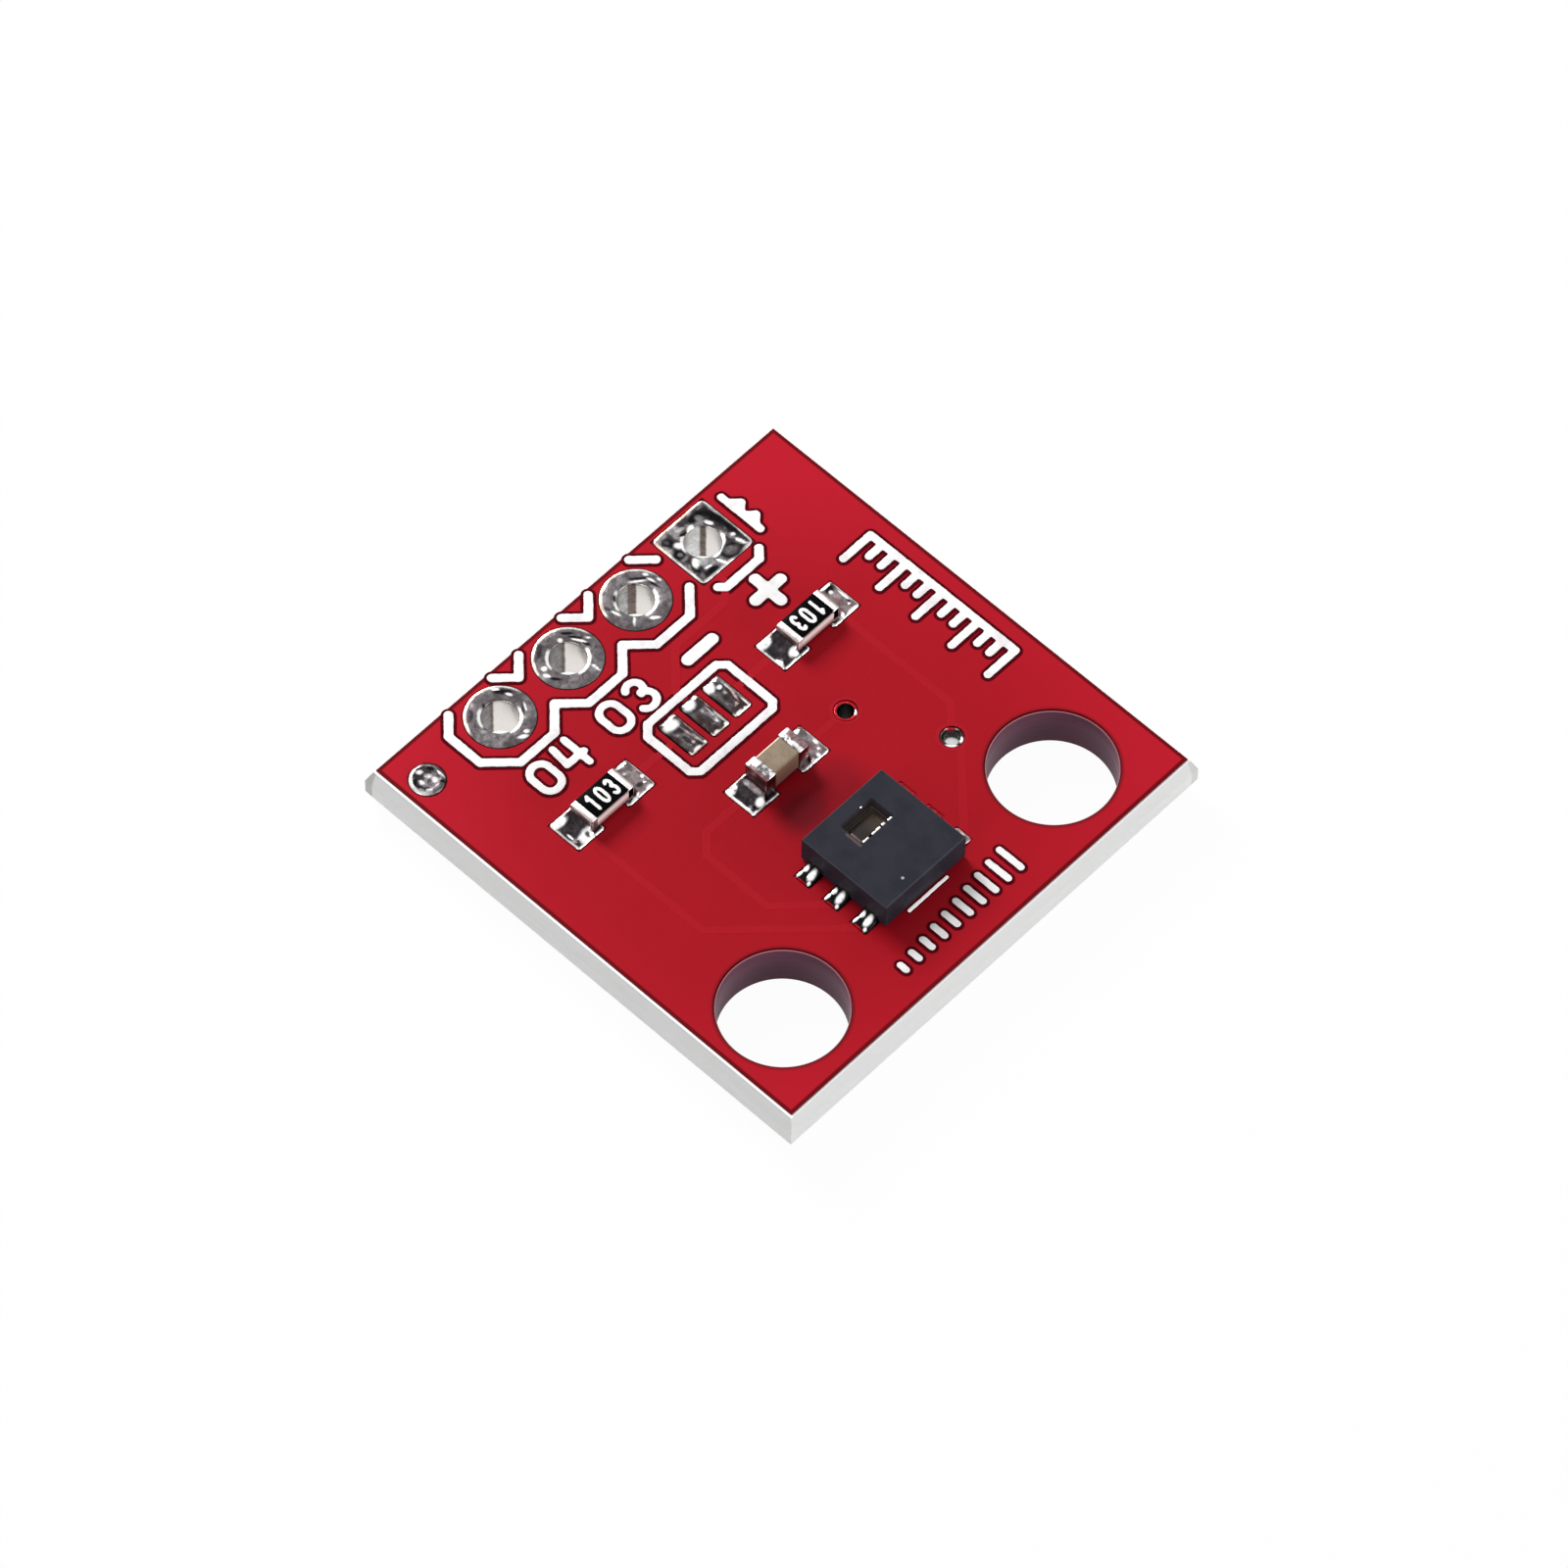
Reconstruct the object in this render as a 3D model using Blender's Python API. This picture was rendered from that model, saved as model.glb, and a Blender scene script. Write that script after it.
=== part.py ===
"""Temperature and humidity sensor module: a small square circuit board with a four-way header row.

Every piece is its own object, in metres, +Z up. The origin is under the middle of the board, on the
surface that its lowest pads stand on. The header row is at +Y and the two mounting holes are at -Y.
"""

import math

import bmesh
import bpy
from mathutils import Vector

# Mounting holes and header row, which set the board's outline
MOUNT_HOLE_DIAMETER = 3.50e-3
MOUNT_HOLE_SPACING = 10.16e-3
LEFT_HOLE_WALL = 0.43e-3
RIGHT_HOLE_WALL = 0.91e-3
FRONT_HOLE_WALL = 0.63e-3
HEADER_TO_MOUNT_HOLES = 11.43e-3
HEADER_BACK_WALL = 0.22e-3

# Board layers
LAMINATE_THICKNESS = 1.40e-3
PAD_HEIGHT = 0.050e-3
MASK_THICKNESS = 0.030e-3
MASK_CLEARANCE = 0.030e-3
MASK_EDGE_SETBACK = 0.030e-3
MASK_HOLE_SETBACK = 0.060e-3
TRACK_RELIEF = 0.012e-3
TRACK_WIDTH = 0.25e-3
TRACK_CHAMFER = 0.030e-3
INK_THICKNESS = 0.015e-3
LAYER_GAP = 0.004e-3

# Scored edges: a bevel cut into each face, and the snapped web that stands out between them
SCORE_DEPTH = 0.45e-3
SCORE_REACH = 0.18e-3

# Header row of plated holes
HEADER_PITCH = 2.54e-3
HEADER_PAD_DIAMETER = 1.94e-3
HEADER_SQUARE_SIDE = 1.94e-3
HEADER_HOLE_DIAMETER = 1.00e-3
PLATING_WALL = 0.035e-3
PLATING_GAP = 0.008e-3
BORE_FLARE = 0.060e-3
PAD_EDGE_ROUND = 0.018e-3

# Vias and the soldered corner pad
VIA_HOLE_DIAMETER = 0.46e-3
VIA_LIP = 0.045e-3
VIA_LIP_HEIGHT = 0.022e-3
VIA_RELIEF_DIAMETER = 0.90e-3
GROUND_VIA_REACH = 2.60e-3
DATA_VIA_REACH = 3.94e-3
DATA_VIA_SETBACK = 1.26e-3
CORNER_PAD_DIAMETER = 1.00e-3
CORNER_PAD_WALL = 0.25e-3
CORNER_DRILL_DIAMETER = 0.60e-3
CORNER_RIM_HEIGHT = 0.060e-3
CORNER_DIMPLE_DEPTH = 0.075e-3

# Rows of parts, counted from the header towards the front
HEADER_TO_RESISTORS = 3.81e-3
RESISTORS_TO_CAPACITOR = 2.54e-3
CAPACITOR_TO_SENSOR = 3.81e-3
LEFT_RESISTOR_REACH = 3.90e-3
RIGHT_RESISTOR_REACH = 3.82e-3

# Chip resistors and the chip capacitor
CHIP_LENGTH = 1.60e-3
CHIP_WIDTH = 0.80e-3
RESISTOR_HEIGHT = 0.45e-3
RESISTOR_BAND = 0.27e-3
RESISTOR_PLATING = 0.030e-3
GLAZE_THICKNESS = 0.032e-3
GLAZE_SIDE_MARGIN = 0.030e-3
CAPACITOR_HEIGHT = 0.80e-3
CAPACITOR_BAND = 0.37e-3
CAPACITOR_PLATING = 0.030e-3
CAPACITOR_CORNER = 0.070e-3
PLATING_ROUND = 0.060e-3
FIT_GAP = 0.006e-3

# Chip lands and the solder on them
LAND_WIDTH = 1.10e-3
LAND_TOE = 0.63e-3
LAND_HEEL = 0.36e-3
SOLDER_JOINT = 0.020e-3
RESISTOR_SOLDER_RISE = 0.33e-3
CAPACITOR_SOLDER_RISE = 0.36e-3
SOLDER_EDGE_HEIGHT = 0.035e-3
SOLDER_SHOULDER = 0.020e-3

# Solder jumper of three pads
JUMPER_PAD_WIDTH = 0.62e-3
JUMPER_PAD_LENGTH = 1.30e-3
JUMPER_PITCH = 0.825e-3
JUMPER_OFFSET = 0.07e-3
JUMPER_CROWN = 0.085e-3
JUMPER_CROWN_RUN = 0.235e-3
JUMPER_PAD_CORNER = 0.090e-3

# Sensor
SENSOR_SIDE = 3.00e-3
SENSOR_HEIGHT = 0.90e-3
SENSOR_EDGE_BREAK = 0.030e-3
SENSOR_LEAD_PITCH = 1.00e-3
SENSOR_LEAD_WIDTH = 0.40e-3
SENSOR_LEAD_LENGTH = 0.42e-3
SENSOR_LEAD_THICKNESS = 0.20e-3
SENSOR_LEAD_PROUD = 0.025e-3
SENSOR_STANDOFF = 0.020e-3
SENSOR_PAD_LENGTH = 2.40e-3
SENSOR_PAD_WIDTH = 1.50e-3
SENSOR_PAD_THICKNESS = 0.15e-3
SENSOR_LAND_WIDTH = 0.54e-3
SENSOR_LAND_TOE = 0.48e-3
SENSOR_LAND_HEEL = 0.40e-3
SENSOR_SOLDER_RISE = 0.23e-3
WINDOW_LENGTH = 1.20e-3
WINDOW_WIDTH = 0.82e-3
WINDOW_DEPTH = 0.42e-3
WINDOW_TAPER = 0.070e-3
WINDOW_SIDE_SHIFT = 0.08e-3
WINDOW_BACK_WALL = 0.41e-3
ELEMENT_MARGIN = 0.10e-3
ELEMENT_THICKNESS = 0.12e-3

# Printed legend
INK_LINE = 0.26e-3
OUTLINE_REACH = 1.38e-3
OUTLINE_NOTCH = 0.74e-3
OUTLINE_END_RISE = 0.99e-3
OUTLINE_END_RUN = 0.47e-3
CHEVRON_DEPTH = 0.49e-3
PIN_MARK_REACH = 1.47e-3
PIN_MARK_HALF = 0.88e-3
PIN_MARK_RISE = 0.24e-3
PIN_BAR_REACH = 1.37e-3
PIN_BAR_FRONT = 0.84e-3
PIN_BAR_BACK = 0.60e-3
PIN_BAR_BUMP = 0.22e-3
PIN_BAR_END = 0.14e-3
JUMPER_FRAME_LINE = 0.25e-3
JUMPER_FRAME_SIDE_GAP = 0.43e-3
JUMPER_FRAME_FRONT_GAP = 0.47e-3
JUMPER_FRAME_BACK_GAP = 0.27e-3
JUMPER_FRAME_CORNER = 0.24e-3
SENSOR_BAR_LENGTH = 1.42e-3
SENSOR_BAR_LINE = 0.12e-3
SENSOR_BAR_GAP = 0.10e-3

# Facets of round pieces
MOUNT_HOLE_FACETS = 64
BARREL_FACETS = 32
VIA_FACETS = 20
ARC_FACETS = 4
OPENING_CORNER_FACETS = 2
CAP_FACETS = 6
CROWN_STEPS = 4
FILLET_STEPS = 7
FILLET_FACETS = 8
PIN_BAR_STEPS = 24

# Board outline and rows, worked out from the sizes above
mount_radius = MOUNT_HOLE_DIAMETER / 2
header_radius = HEADER_PAD_DIAMETER / 2
board_length = LEFT_HOLE_WALL + MOUNT_HOLE_DIAMETER + MOUNT_HOLE_SPACING + RIGHT_HOLE_WALL
board_width = FRONT_HOLE_WALL + mount_radius + HEADER_TO_MOUNT_HOLES + header_radius + HEADER_BACK_WALL
row_x = (LEFT_HOLE_WALL - RIGHT_HOLE_WALL) / 2
header_y = board_width / 2 - HEADER_BACK_WALL - header_radius
mount_y = header_y - HEADER_TO_MOUNT_HOLES
resistor_y = header_y - HEADER_TO_RESISTORS
capacitor_y = resistor_y - RESISTORS_TO_CAPACITOR
sensor_y = capacitor_y - CAPACITOR_TO_SENSOR

# Levels
laminate_bottom = PAD_HEIGHT
laminate_top = laminate_bottom + LAMINATE_THICKNESS
pad_top = laminate_top + PAD_HEIGHT
mask_top = laminate_top + LAYER_GAP + MASK_THICKNESS
mask_bottom = laminate_bottom - LAYER_GAP - MASK_THICKNESS
ink_bottom = mask_top + TRACK_RELIEF + LAYER_GAP
chip_bottom = pad_top + SOLDER_JOINT + LAYER_GAP

# Places on the board
mount_holes = [(row_x + side * MOUNT_HOLE_SPACING / 2, mount_y) for side in (-1, 1)]
pins = (1, 2, 3, 4)
middle_pin = sum(pins) / len(pins)
header_pins = {pin: (row_x + (middle_pin - pin) * HEADER_PITCH, header_y) for pin in pins}
resistors = {
    "resistor_left": (row_x - LEFT_RESISTOR_REACH, resistor_y),
    "resistor_right": (row_x + RIGHT_RESISTOR_REACH, resistor_y),
}
capacitor = (row_x, capacitor_y)
sensor = (row_x, sensor_y)
jumper_x = row_x - JUMPER_OFFSET
jumper_pads = {
    "jumper_pad_left": jumper_x - JUMPER_PITCH,
    "jumper_pad_middle": jumper_x,
    "jumper_pad_right": jumper_x + JUMPER_PITCH,
}
ground_via = (row_x + GROUND_VIA_REACH, capacitor_y)
data_via = (row_x + DATA_VIA_REACH, sensor_y + DATA_VIA_SETBACK)
corner_pad = (-board_length / 2 + CORNER_PAD_WALL + CORNER_PAD_DIAMETER / 2, header_y)
lead_rows = [sensor_y + step * SENSOR_LEAD_PITCH for step in (1, 0, -1)]
sensor_land_end = SENSOR_SIDE / 2 + SENSOR_LEAD_PROUD + SENSOR_LAND_TOE


def clear_scene():
    for item in list(bpy.data.objects):
        bpy.data.objects.remove(item, do_unlink=True)


def material(name, colour, roughness, metallic=0.0):
    made = bpy.data.materials.new(name)
    made.use_nodes = True
    shader = made.node_tree.nodes["Principled BSDF"]
    shader.inputs["Base Color"].default_value = (*colour, 1.0)
    shader.inputs["Roughness"].default_value = roughness
    shader.inputs["Metallic"].default_value = metallic
    return made


# Outlines in the board's plane
def circle(centre, radius, facets):
    turns = [math.tau * step / facets for step in range(facets)]
    return [(centre[0] + radius * math.cos(t), centre[1] + radius * math.sin(t)) for t in turns]


def square_ring(centre, half_side, facets):
    """Points at a circle's angles, pushed out to a square, so that rings of both kinds join up."""
    points = []
    for step in range(facets):
        turn = math.tau * step / facets
        reach = half_side / max(abs(math.cos(turn)), abs(math.sin(turn)))
        points.append((centre[0] + reach * math.cos(turn), centre[1] + reach * math.sin(turn)))
    return points


def rounded_rectangle(centre, length, width, radius, facets=ARC_FACETS):
    points = []
    for quarter, (sx, sy) in enumerate(((1, 1), (-1, 1), (-1, -1), (1, -1))):
        corner = (centre[0] + sx * (length / 2 - radius), centre[1] + sy * (width / 2 - radius))
        for step in range(facets + 1):
            turn = math.tau / 4 * (quarter + step / facets)
            points.append((corner[0] + radius * math.cos(turn), corner[1] + radius * math.sin(turn)))
    return points


def cut_rectangle(centre, length, width, cut):
    """A rectangle whose four corners are cut at 45 degrees."""
    return rounded_rectangle(centre, length, width, cut, facets=1)


def half_turns(facets):
    """The angles between the ends of a half circle."""
    return [math.pi * step / facets for step in range(1, facets)]


def stroke(points, width):
    """The outline of a line of this width through the points, with mitred bends and round ends."""
    path = [Vector(point) for point in points]
    runs = [(second - first).normalized() for first, second in zip(path, path[1:])]
    normals = [Vector((-run.y, run.x)) for run in runs]
    offsets = [normals[0]]
    for first, second in zip(normals, normals[1:]):
        middle = (first + second).normalized()
        offsets.append(middle / middle.dot(first))
    offsets.append(normals[-1])
    left = [point + offset * width / 2 for point, offset in zip(path, offsets)]
    right = [point - offset * width / 2 for point, offset in zip(path, offsets)]

    def cap(centre, normal, run):
        turns = half_turns(CAP_FACETS)
        return [centre + (normal * math.cos(t) + run * math.sin(t)) * width / 2 for t in turns]

    ending = cap(path[-1], normals[-1], runs[-1])
    beginning = cap(path[0], -normals[0], -runs[0])
    return [tuple(point) for point in left + ending + right[::-1] + beginning]


# Solids
def at_level(outline, z):
    return [(x, y, z) for x, y in outline]


def loft(bm, sections, closed=False):
    """A skin over rings of points, capped at both ends or closed on itself."""
    rings = [[bm.verts.new(point) for point in section] for section in sections]
    pairs = list(zip(rings, rings[1:]))
    if closed:
        pairs.append((rings[-1], rings[0]))
    else:
        bm.faces.new(rings[0])
        bm.faces.new(rings[-1])
    for first, second in pairs:
        for i in range(len(first)):
            j = (i + 1) % len(first)
            bm.faces.new((first[i], first[j], second[j], second[i]))


def prism(bm, outline, bottom, top):
    """An outline raised from one level to another."""
    face = bm.faces.new([bm.verts.new(point) for point in at_level(outline, bottom)])
    raised = bmesh.ops.extrude_face_region(bm, geom=[face], use_keep_orig=True)["geom"]
    moved = [item for item in raised if isinstance(item, bmesh.types.BMVert)]
    bmesh.ops.translate(bm, vec=(0, 0, top - bottom), verts=moved)


def turned(bm, profile, facets, closed=True):
    """A profile of (radius, z) points spun about the Z axis."""
    points = [bm.verts.new((radius, 0, z)) for radius, z in profile]
    edges = [bm.edges.new(pair) for pair in zip(points, points[1:])]
    if closed:
        edges.append(bm.edges.new((points[-1], points[0])))
    bmesh.ops.spin(
        bm,
        geom=points + edges,
        cent=(0, 0, 0),
        axis=(0, 0, 1),
        angle=math.tau,
        steps=facets,
        use_merge=True,
        use_duplicate=False,
    )
    if not closed:
        bmesh.ops.remove_doubles(bm, verts=bm.verts, dist=1e-7)


def mesh_of(name, build, smooth_angle=None):
    """The mesh that a function draws, with its faces pointing out."""
    bm = bmesh.new()
    build(bm)
    bmesh.ops.recalc_face_normals(bm, faces=bm.faces)
    mesh = bpy.data.meshes.new(name)
    bm.to_mesh(mesh)
    bm.free()
    if smooth_angle:
        mesh.shade_smooth()
        mesh.set_sharp_from_angle(angle=math.radians(smooth_angle))
    return mesh


def place(name, mesh, finish=None, parent=None, location=(0, 0, 0), turn=0.0):
    item = bpy.data.objects.new(name, mesh)
    bpy.context.scene.collection.objects.link(item)
    item.parent = parent
    item.location = location
    item.rotation_euler.z = turn
    if finish and not mesh.materials:
        mesh.materials.append(finish)
    return item


def cutter(name, build, parent=None):
    item = place(name, mesh_of(name, build), parent=parent)
    item.hide_render = True
    item.display_type = "WIRE"
    return item


def boolean(item, tool, operation="DIFFERENCE"):
    modifier = item.modifiers.new(tool.name, "BOOLEAN")
    modifier.operation = operation
    modifier.object = tool
    modifier.use_self = operation == "UNION"


def prisms(outlines, bottom, top):
    def build(bm):
        for outline in outlines:
            prism(bm, outline, bottom, top)

    return build


# Openings that the mask leaves round the metal, shared by the mask and by what stands in them
def land_openings(centre, end, toe, heel, width):
    """The openings over the two lands of a part, one at each end."""
    grow = MASK_CLEARANCE
    length = toe + heel + 2 * grow
    middle = end + (toe - heel) / 2
    size = (length, width + 2 * grow, grow, OPENING_CORNER_FACETS)
    return [rounded_rectangle((centre[0] + side * middle, centre[1]), *size) for side in (-1, 1)]


def shared_openings():
    """The openings that both masks have, round the holes that go through the board."""
    found = []
    for pin, centre in header_pins.items():
        if pin == 1:
            side = HEADER_SQUARE_SIDE + 2 * MASK_CLEARANCE
            found.append(rounded_rectangle(centre, side, side, MASK_CLEARANCE, OPENING_CORNER_FACETS))
        else:
            found.append(circle(centre, header_radius + MASK_CLEARANCE, BARREL_FACETS))
    for centre in mount_holes:
        found.append(circle(centre, mount_radius + MASK_HOLE_SETBACK, MOUNT_HOLE_FACETS))
    for centre in (ground_via, data_via):
        found.append(circle(centre, via_lip_radius() + MASK_CLEARANCE, VIA_FACETS))
    found.append(circle(corner_pad, CORNER_PAD_DIAMETER / 2 + MASK_CLEARANCE, VIA_FACETS))
    return found


def part_openings():
    """The openings over the lands of the parts, on the top only."""
    found = []
    for centre in (*resistors.values(), capacitor):
        found += land_openings(centre, CHIP_LENGTH / 2, LAND_TOE, LAND_HEEL, LAND_WIDTH)
    lead_end = SENSOR_SIDE / 2 + SENSOR_LEAD_PROUD
    lead_land = (SENSOR_LAND_TOE, SENSOR_LAND_HEEL, SENSOR_LAND_WIDTH)
    for y in lead_rows:
        found += land_openings((sensor[0], y), lead_end, *lead_land)
    for x in jumper_pads.values():
        width = JUMPER_PAD_WIDTH + 2 * MASK_CLEARANCE
        length = JUMPER_PAD_LENGTH + 2 * MASK_CLEARANCE
        corner = JUMPER_PAD_CORNER + MASK_CLEARANCE
        found.append(rounded_rectangle((x, resistor_y), width, length, corner))
    return found


# Copper tracks, which show as low ridges in the mask
def top_tracks():
    land_middle = CHIP_LENGTH / 2 + (LAND_TOE - LAND_HEEL) / 2
    left_land = resistors["resistor_left"][0] - land_middle
    left_toe = sensor[0] - sensor_land_end
    right_toe = sensor[0] + sensor_land_end
    clock = [
        (left_land, resistor_y),
        (left_land, lead_rows[2] + left_toe - left_land),
        (left_toe, lead_rows[2]),
    ]
    supply_x = left_toe - (lead_rows[0] - lead_rows[1]) - TRACK_WIDTH / 2
    supply_bend = (lead_rows[0] - lead_rows[1]) / 2
    supply = [
        (capacitor[0] - land_middle, capacitor_y),
        (supply_x + supply_bend, capacitor_y),
        (supply_x, capacitor_y - supply_bend),
        (supply_x, lead_rows[1] + left_toe - supply_x),
        (left_toe, lead_rows[1]),
    ]
    ground = [(capacitor[0] + land_middle, capacitor_y), ground_via]
    data_x = data_via[0] + supply_bend + TRACK_WIDTH
    pull_up = [
        (data_x, resistor_y),
        (data_x, data_via[1] + data_x - data_via[0]),
        data_via,
    ]
    data = [
        data_via,
        (data_via[0], lead_rows[2] + data_via[0] - right_toe),
        (right_toe, lead_rows[2]),
    ]
    left_link = [
        (resistors["resistor_left"][0] + land_middle, resistor_y),
        (jumper_pads["jumper_pad_left"], resistor_y),
    ]
    right_link = [
        (jumper_pads["jumper_pad_right"], resistor_y),
        (resistors["resistor_right"][0] - land_middle, resistor_y),
    ]
    return [clock, supply, ground, pull_up, data, left_link, right_link, power_track()]


def power_track():
    """From pin 1, round the front of pins 1 and 2, to the middle jumper pad."""
    pin_x = header_pins[1][0] - HEADER_SQUARE_SIDE / 4
    lane_y = header_y - OUTLINE_REACH - INK_LINE / 2 - TRACK_WIDTH
    bend = HEADER_SQUARE_SIDE / 4
    middle = jumper_pads["jumper_pad_middle"]
    drop = (lane_y - resistor_y) / 2
    return [
        (pin_x, header_y - HEADER_SQUARE_SIDE / 4),
        (pin_x, lane_y + bend),
        (pin_x - bend, lane_y),
        (middle + drop, lane_y),
        (middle, lane_y - drop),
        (middle, resistor_y),
    ]


def bottom_tracks():
    ground_pin = header_pins[2]
    data_pin = header_pins[3]
    ground = [
        ground_via,
        (ground_via[0], resistor_y),
        (ground_pin[0], resistor_y + ground_via[0] - ground_pin[0]),
        ground_pin,
    ]
    lane_y = (data_via[1] + capacitor_y) / 2
    bend = lane_y - data_via[1]
    data = [
        data_via,
        (data_via[0] - bend, lane_y),
        (data_pin[0] + bend, lane_y),
        (data_pin[0], lane_y + bend),
        data_pin,
    ]
    return [ground, data]


def ridges(tracks, surface, outward):
    """Chamfered ridges that stand out of a mask surface, and a raised ring round each via."""

    def ridge(bm, wide, narrow):
        levels = (surface - outward * MASK_THICKNESS / 2, surface, surface + outward * TRACK_RELIEF)
        loft(bm, [at_level(wide, levels[0]), at_level(wide, levels[1]), at_level(narrow, levels[2])])

    def build(bm):
        for track in tracks:
            ridge(bm, stroke(track, TRACK_WIDTH), stroke(track, TRACK_WIDTH - 2 * TRACK_CHAMFER))

    def build_rings(bm):
        for centre in (ground_via, data_via):
            radius = VIA_RELIEF_DIAMETER / 2
            ridge(
                bm,
                circle(centre, radius, VIA_FACETS),
                circle(centre, radius - TRACK_CHAMFER, VIA_FACETS),
            )

    return build, build_rings


# Board
def make_laminate():
    bottom, top = laminate_bottom, laminate_top
    web = (bottom + SCORE_DEPTH, top - SCORE_DEPTH)
    levels = [(bottom, 0.0), (web[0], SCORE_REACH), (web[1], SCORE_REACH), (top, 0.0)]

    def build(bm):
        sections = []
        for z, out in levels:
            sections.append(at_level(rectangle(board_length + 2 * out, board_width + 2 * out), z))
        loft(bm, sections)

    finish = material("bare laminate", (0.60, 0.60, 0.57), 0.55)
    board = place("board_laminate", mesh_of("board_laminate", build), finish)
    drill = HEADER_HOLE_DIAMETER / 2 + PLATING_WALL + PLATING_GAP
    via_drill = VIA_HOLE_DIAMETER / 2 + PLATING_WALL + PLATING_GAP
    holes = [circle(centre, mount_radius, MOUNT_HOLE_FACETS) for centre in mount_holes]
    holes += [circle(centre, drill, BARREL_FACETS) for centre in header_pins.values()]
    holes += [circle(centre, via_drill, VIA_FACETS) for centre in (ground_via, data_via)]
    holes.append(circle(corner_pad, CORNER_DRILL_DIAMETER / 2 + PLATING_GAP, VIA_FACETS))
    boolean(board, cutter("laminate_drills", prisms(holes, bottom - PAD_HEIGHT, top + PAD_HEIGHT)))


def rectangle(length, width):
    return [(sx * length / 2, sy * width / 2) for sx, sy in ((-1, -1), (1, -1), (1, 1), (-1, 1))]


def make_mask(name, surface, inner, openings, tracks):
    """One side's solder mask: a skin with openings round the metal and ridges over the tracks."""
    outward = 1 if surface > inner else -1
    outline = rectangle(board_length - 2 * MASK_EDGE_SETBACK, board_width - 2 * MASK_EDGE_SETBACK)
    low, high = sorted((surface, inner))
    mask = place(
        name,
        mesh_of(name, prisms([outline], low, high)),
        material(name.replace("_", " "), (0.42, 0.012, 0.021), 0.32),
    )
    for label, build in zip(("tracks", "rings"), ridges(tracks, surface, outward)):
        boolean(mask, cutter(f"{name}_{label}", build), "UNION")
    reach = MASK_THICKNESS
    boolean(mask, cutter(f"{name}_openings", prisms(openings, low - reach, high + reach)))


# Plated holes
def eyelet_profile(bore, barrel, lip, lip_height):
    """(radius, z) round one wall of a plated hole, with a lip on each face of the board."""
    flare = min(BORE_FLARE, (lip - bore) / 3)
    edge = min(PAD_EDGE_ROUND, lip_height / 3)
    top, bottom = laminate_top + lip_height, laminate_bottom - lip_height
    upper = [
        (bore, top - flare),
        (bore + flare * 0.3, top - flare * 0.3),
        (bore + flare, top),
        (lip - edge, top),
        (lip, top - edge),
        (lip, laminate_top + LAYER_GAP),
        (barrel, laminate_top + LAYER_GAP),
    ]
    middle = (top + bottom) / 2
    lower = [(radius, 2 * middle - z) for radius, z in reversed(upper)]
    return upper + lower


def via_lip_radius():
    return VIA_HOLE_DIAMETER / 2 + PLATING_WALL + VIA_LIP


def make_header_pads(tin):
    bore = HEADER_HOLE_DIAMETER / 2
    barrel = bore + PLATING_WALL
    profile = eyelet_profile(bore, barrel, header_radius, PAD_HEIGHT)
    round_mesh = mesh_of("round_header_pad", lambda bm: turned(bm, profile, BARREL_FACETS), 40)
    for pin in (2, 3, 4):
        place(f"header_pad_{pin}", round_mesh, tin, location=(*header_pins[pin], 0))

    def build_square(bm):
        half = HEADER_SQUARE_SIDE / 2
        rings = []
        for radius, z in eyelet_profile(bore, barrel, half, PAD_HEIGHT):
            squared = radius > (barrel + half) / 2
            ring = square_ring if squared else circle
            rings.append(at_level(ring((0, 0), radius, BARREL_FACETS), z))
        loft(bm, rings, closed=True)

    square_mesh = mesh_of("square_header_pad", build_square, 40)
    place("header_pad_1", square_mesh, tin, location=(*header_pins[1], 0))


def make_vias(tin):
    bore = VIA_HOLE_DIAMETER / 2
    profile = eyelet_profile(bore, bore + PLATING_WALL, via_lip_radius(), VIA_LIP_HEIGHT)
    mesh = mesh_of("via", lambda bm: turned(bm, profile, VIA_FACETS), 40)
    place("via_ground", mesh, tin, location=(*ground_via, 0))
    place("via_data", mesh, tin, location=(*data_via, 0))


def make_corner_pad(tin):
    """A plated hole filled with solder, dished in the middle where it drew in."""
    edge = CORNER_PAD_DIAMETER / 2
    core = CORNER_DRILL_DIAMETER / 2
    rim = pad_top + CORNER_RIM_HEIGHT
    dish = [(0.0, 1.0), (0.25, 0.85), (0.5, 0.4), (0.7, 0.0)]
    profile = [(edge * share, rim - CORNER_DIMPLE_DEPTH * depth) for share, depth in dish]
    profile += [
        (edge * 0.88, rim - CORNER_RIM_HEIGHT / 3),
        (edge, pad_top),
        (edge, laminate_top + LAYER_GAP),
        (core, laminate_top + LAYER_GAP),
        (core, laminate_bottom - LAYER_GAP),
        (edge, laminate_bottom - LAYER_GAP),
        (edge, PAD_EDGE_ROUND),
        (edge - PAD_EDGE_ROUND, 0.0),
        (0.0, 0.0),
    ]
    mesh = mesh_of("corner_pad", lambda bm: turned(bm, profile, VIA_FACETS, closed=False), 40)
    place("corner_pad", mesh, tin, location=(*corner_pad, 0))


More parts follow.
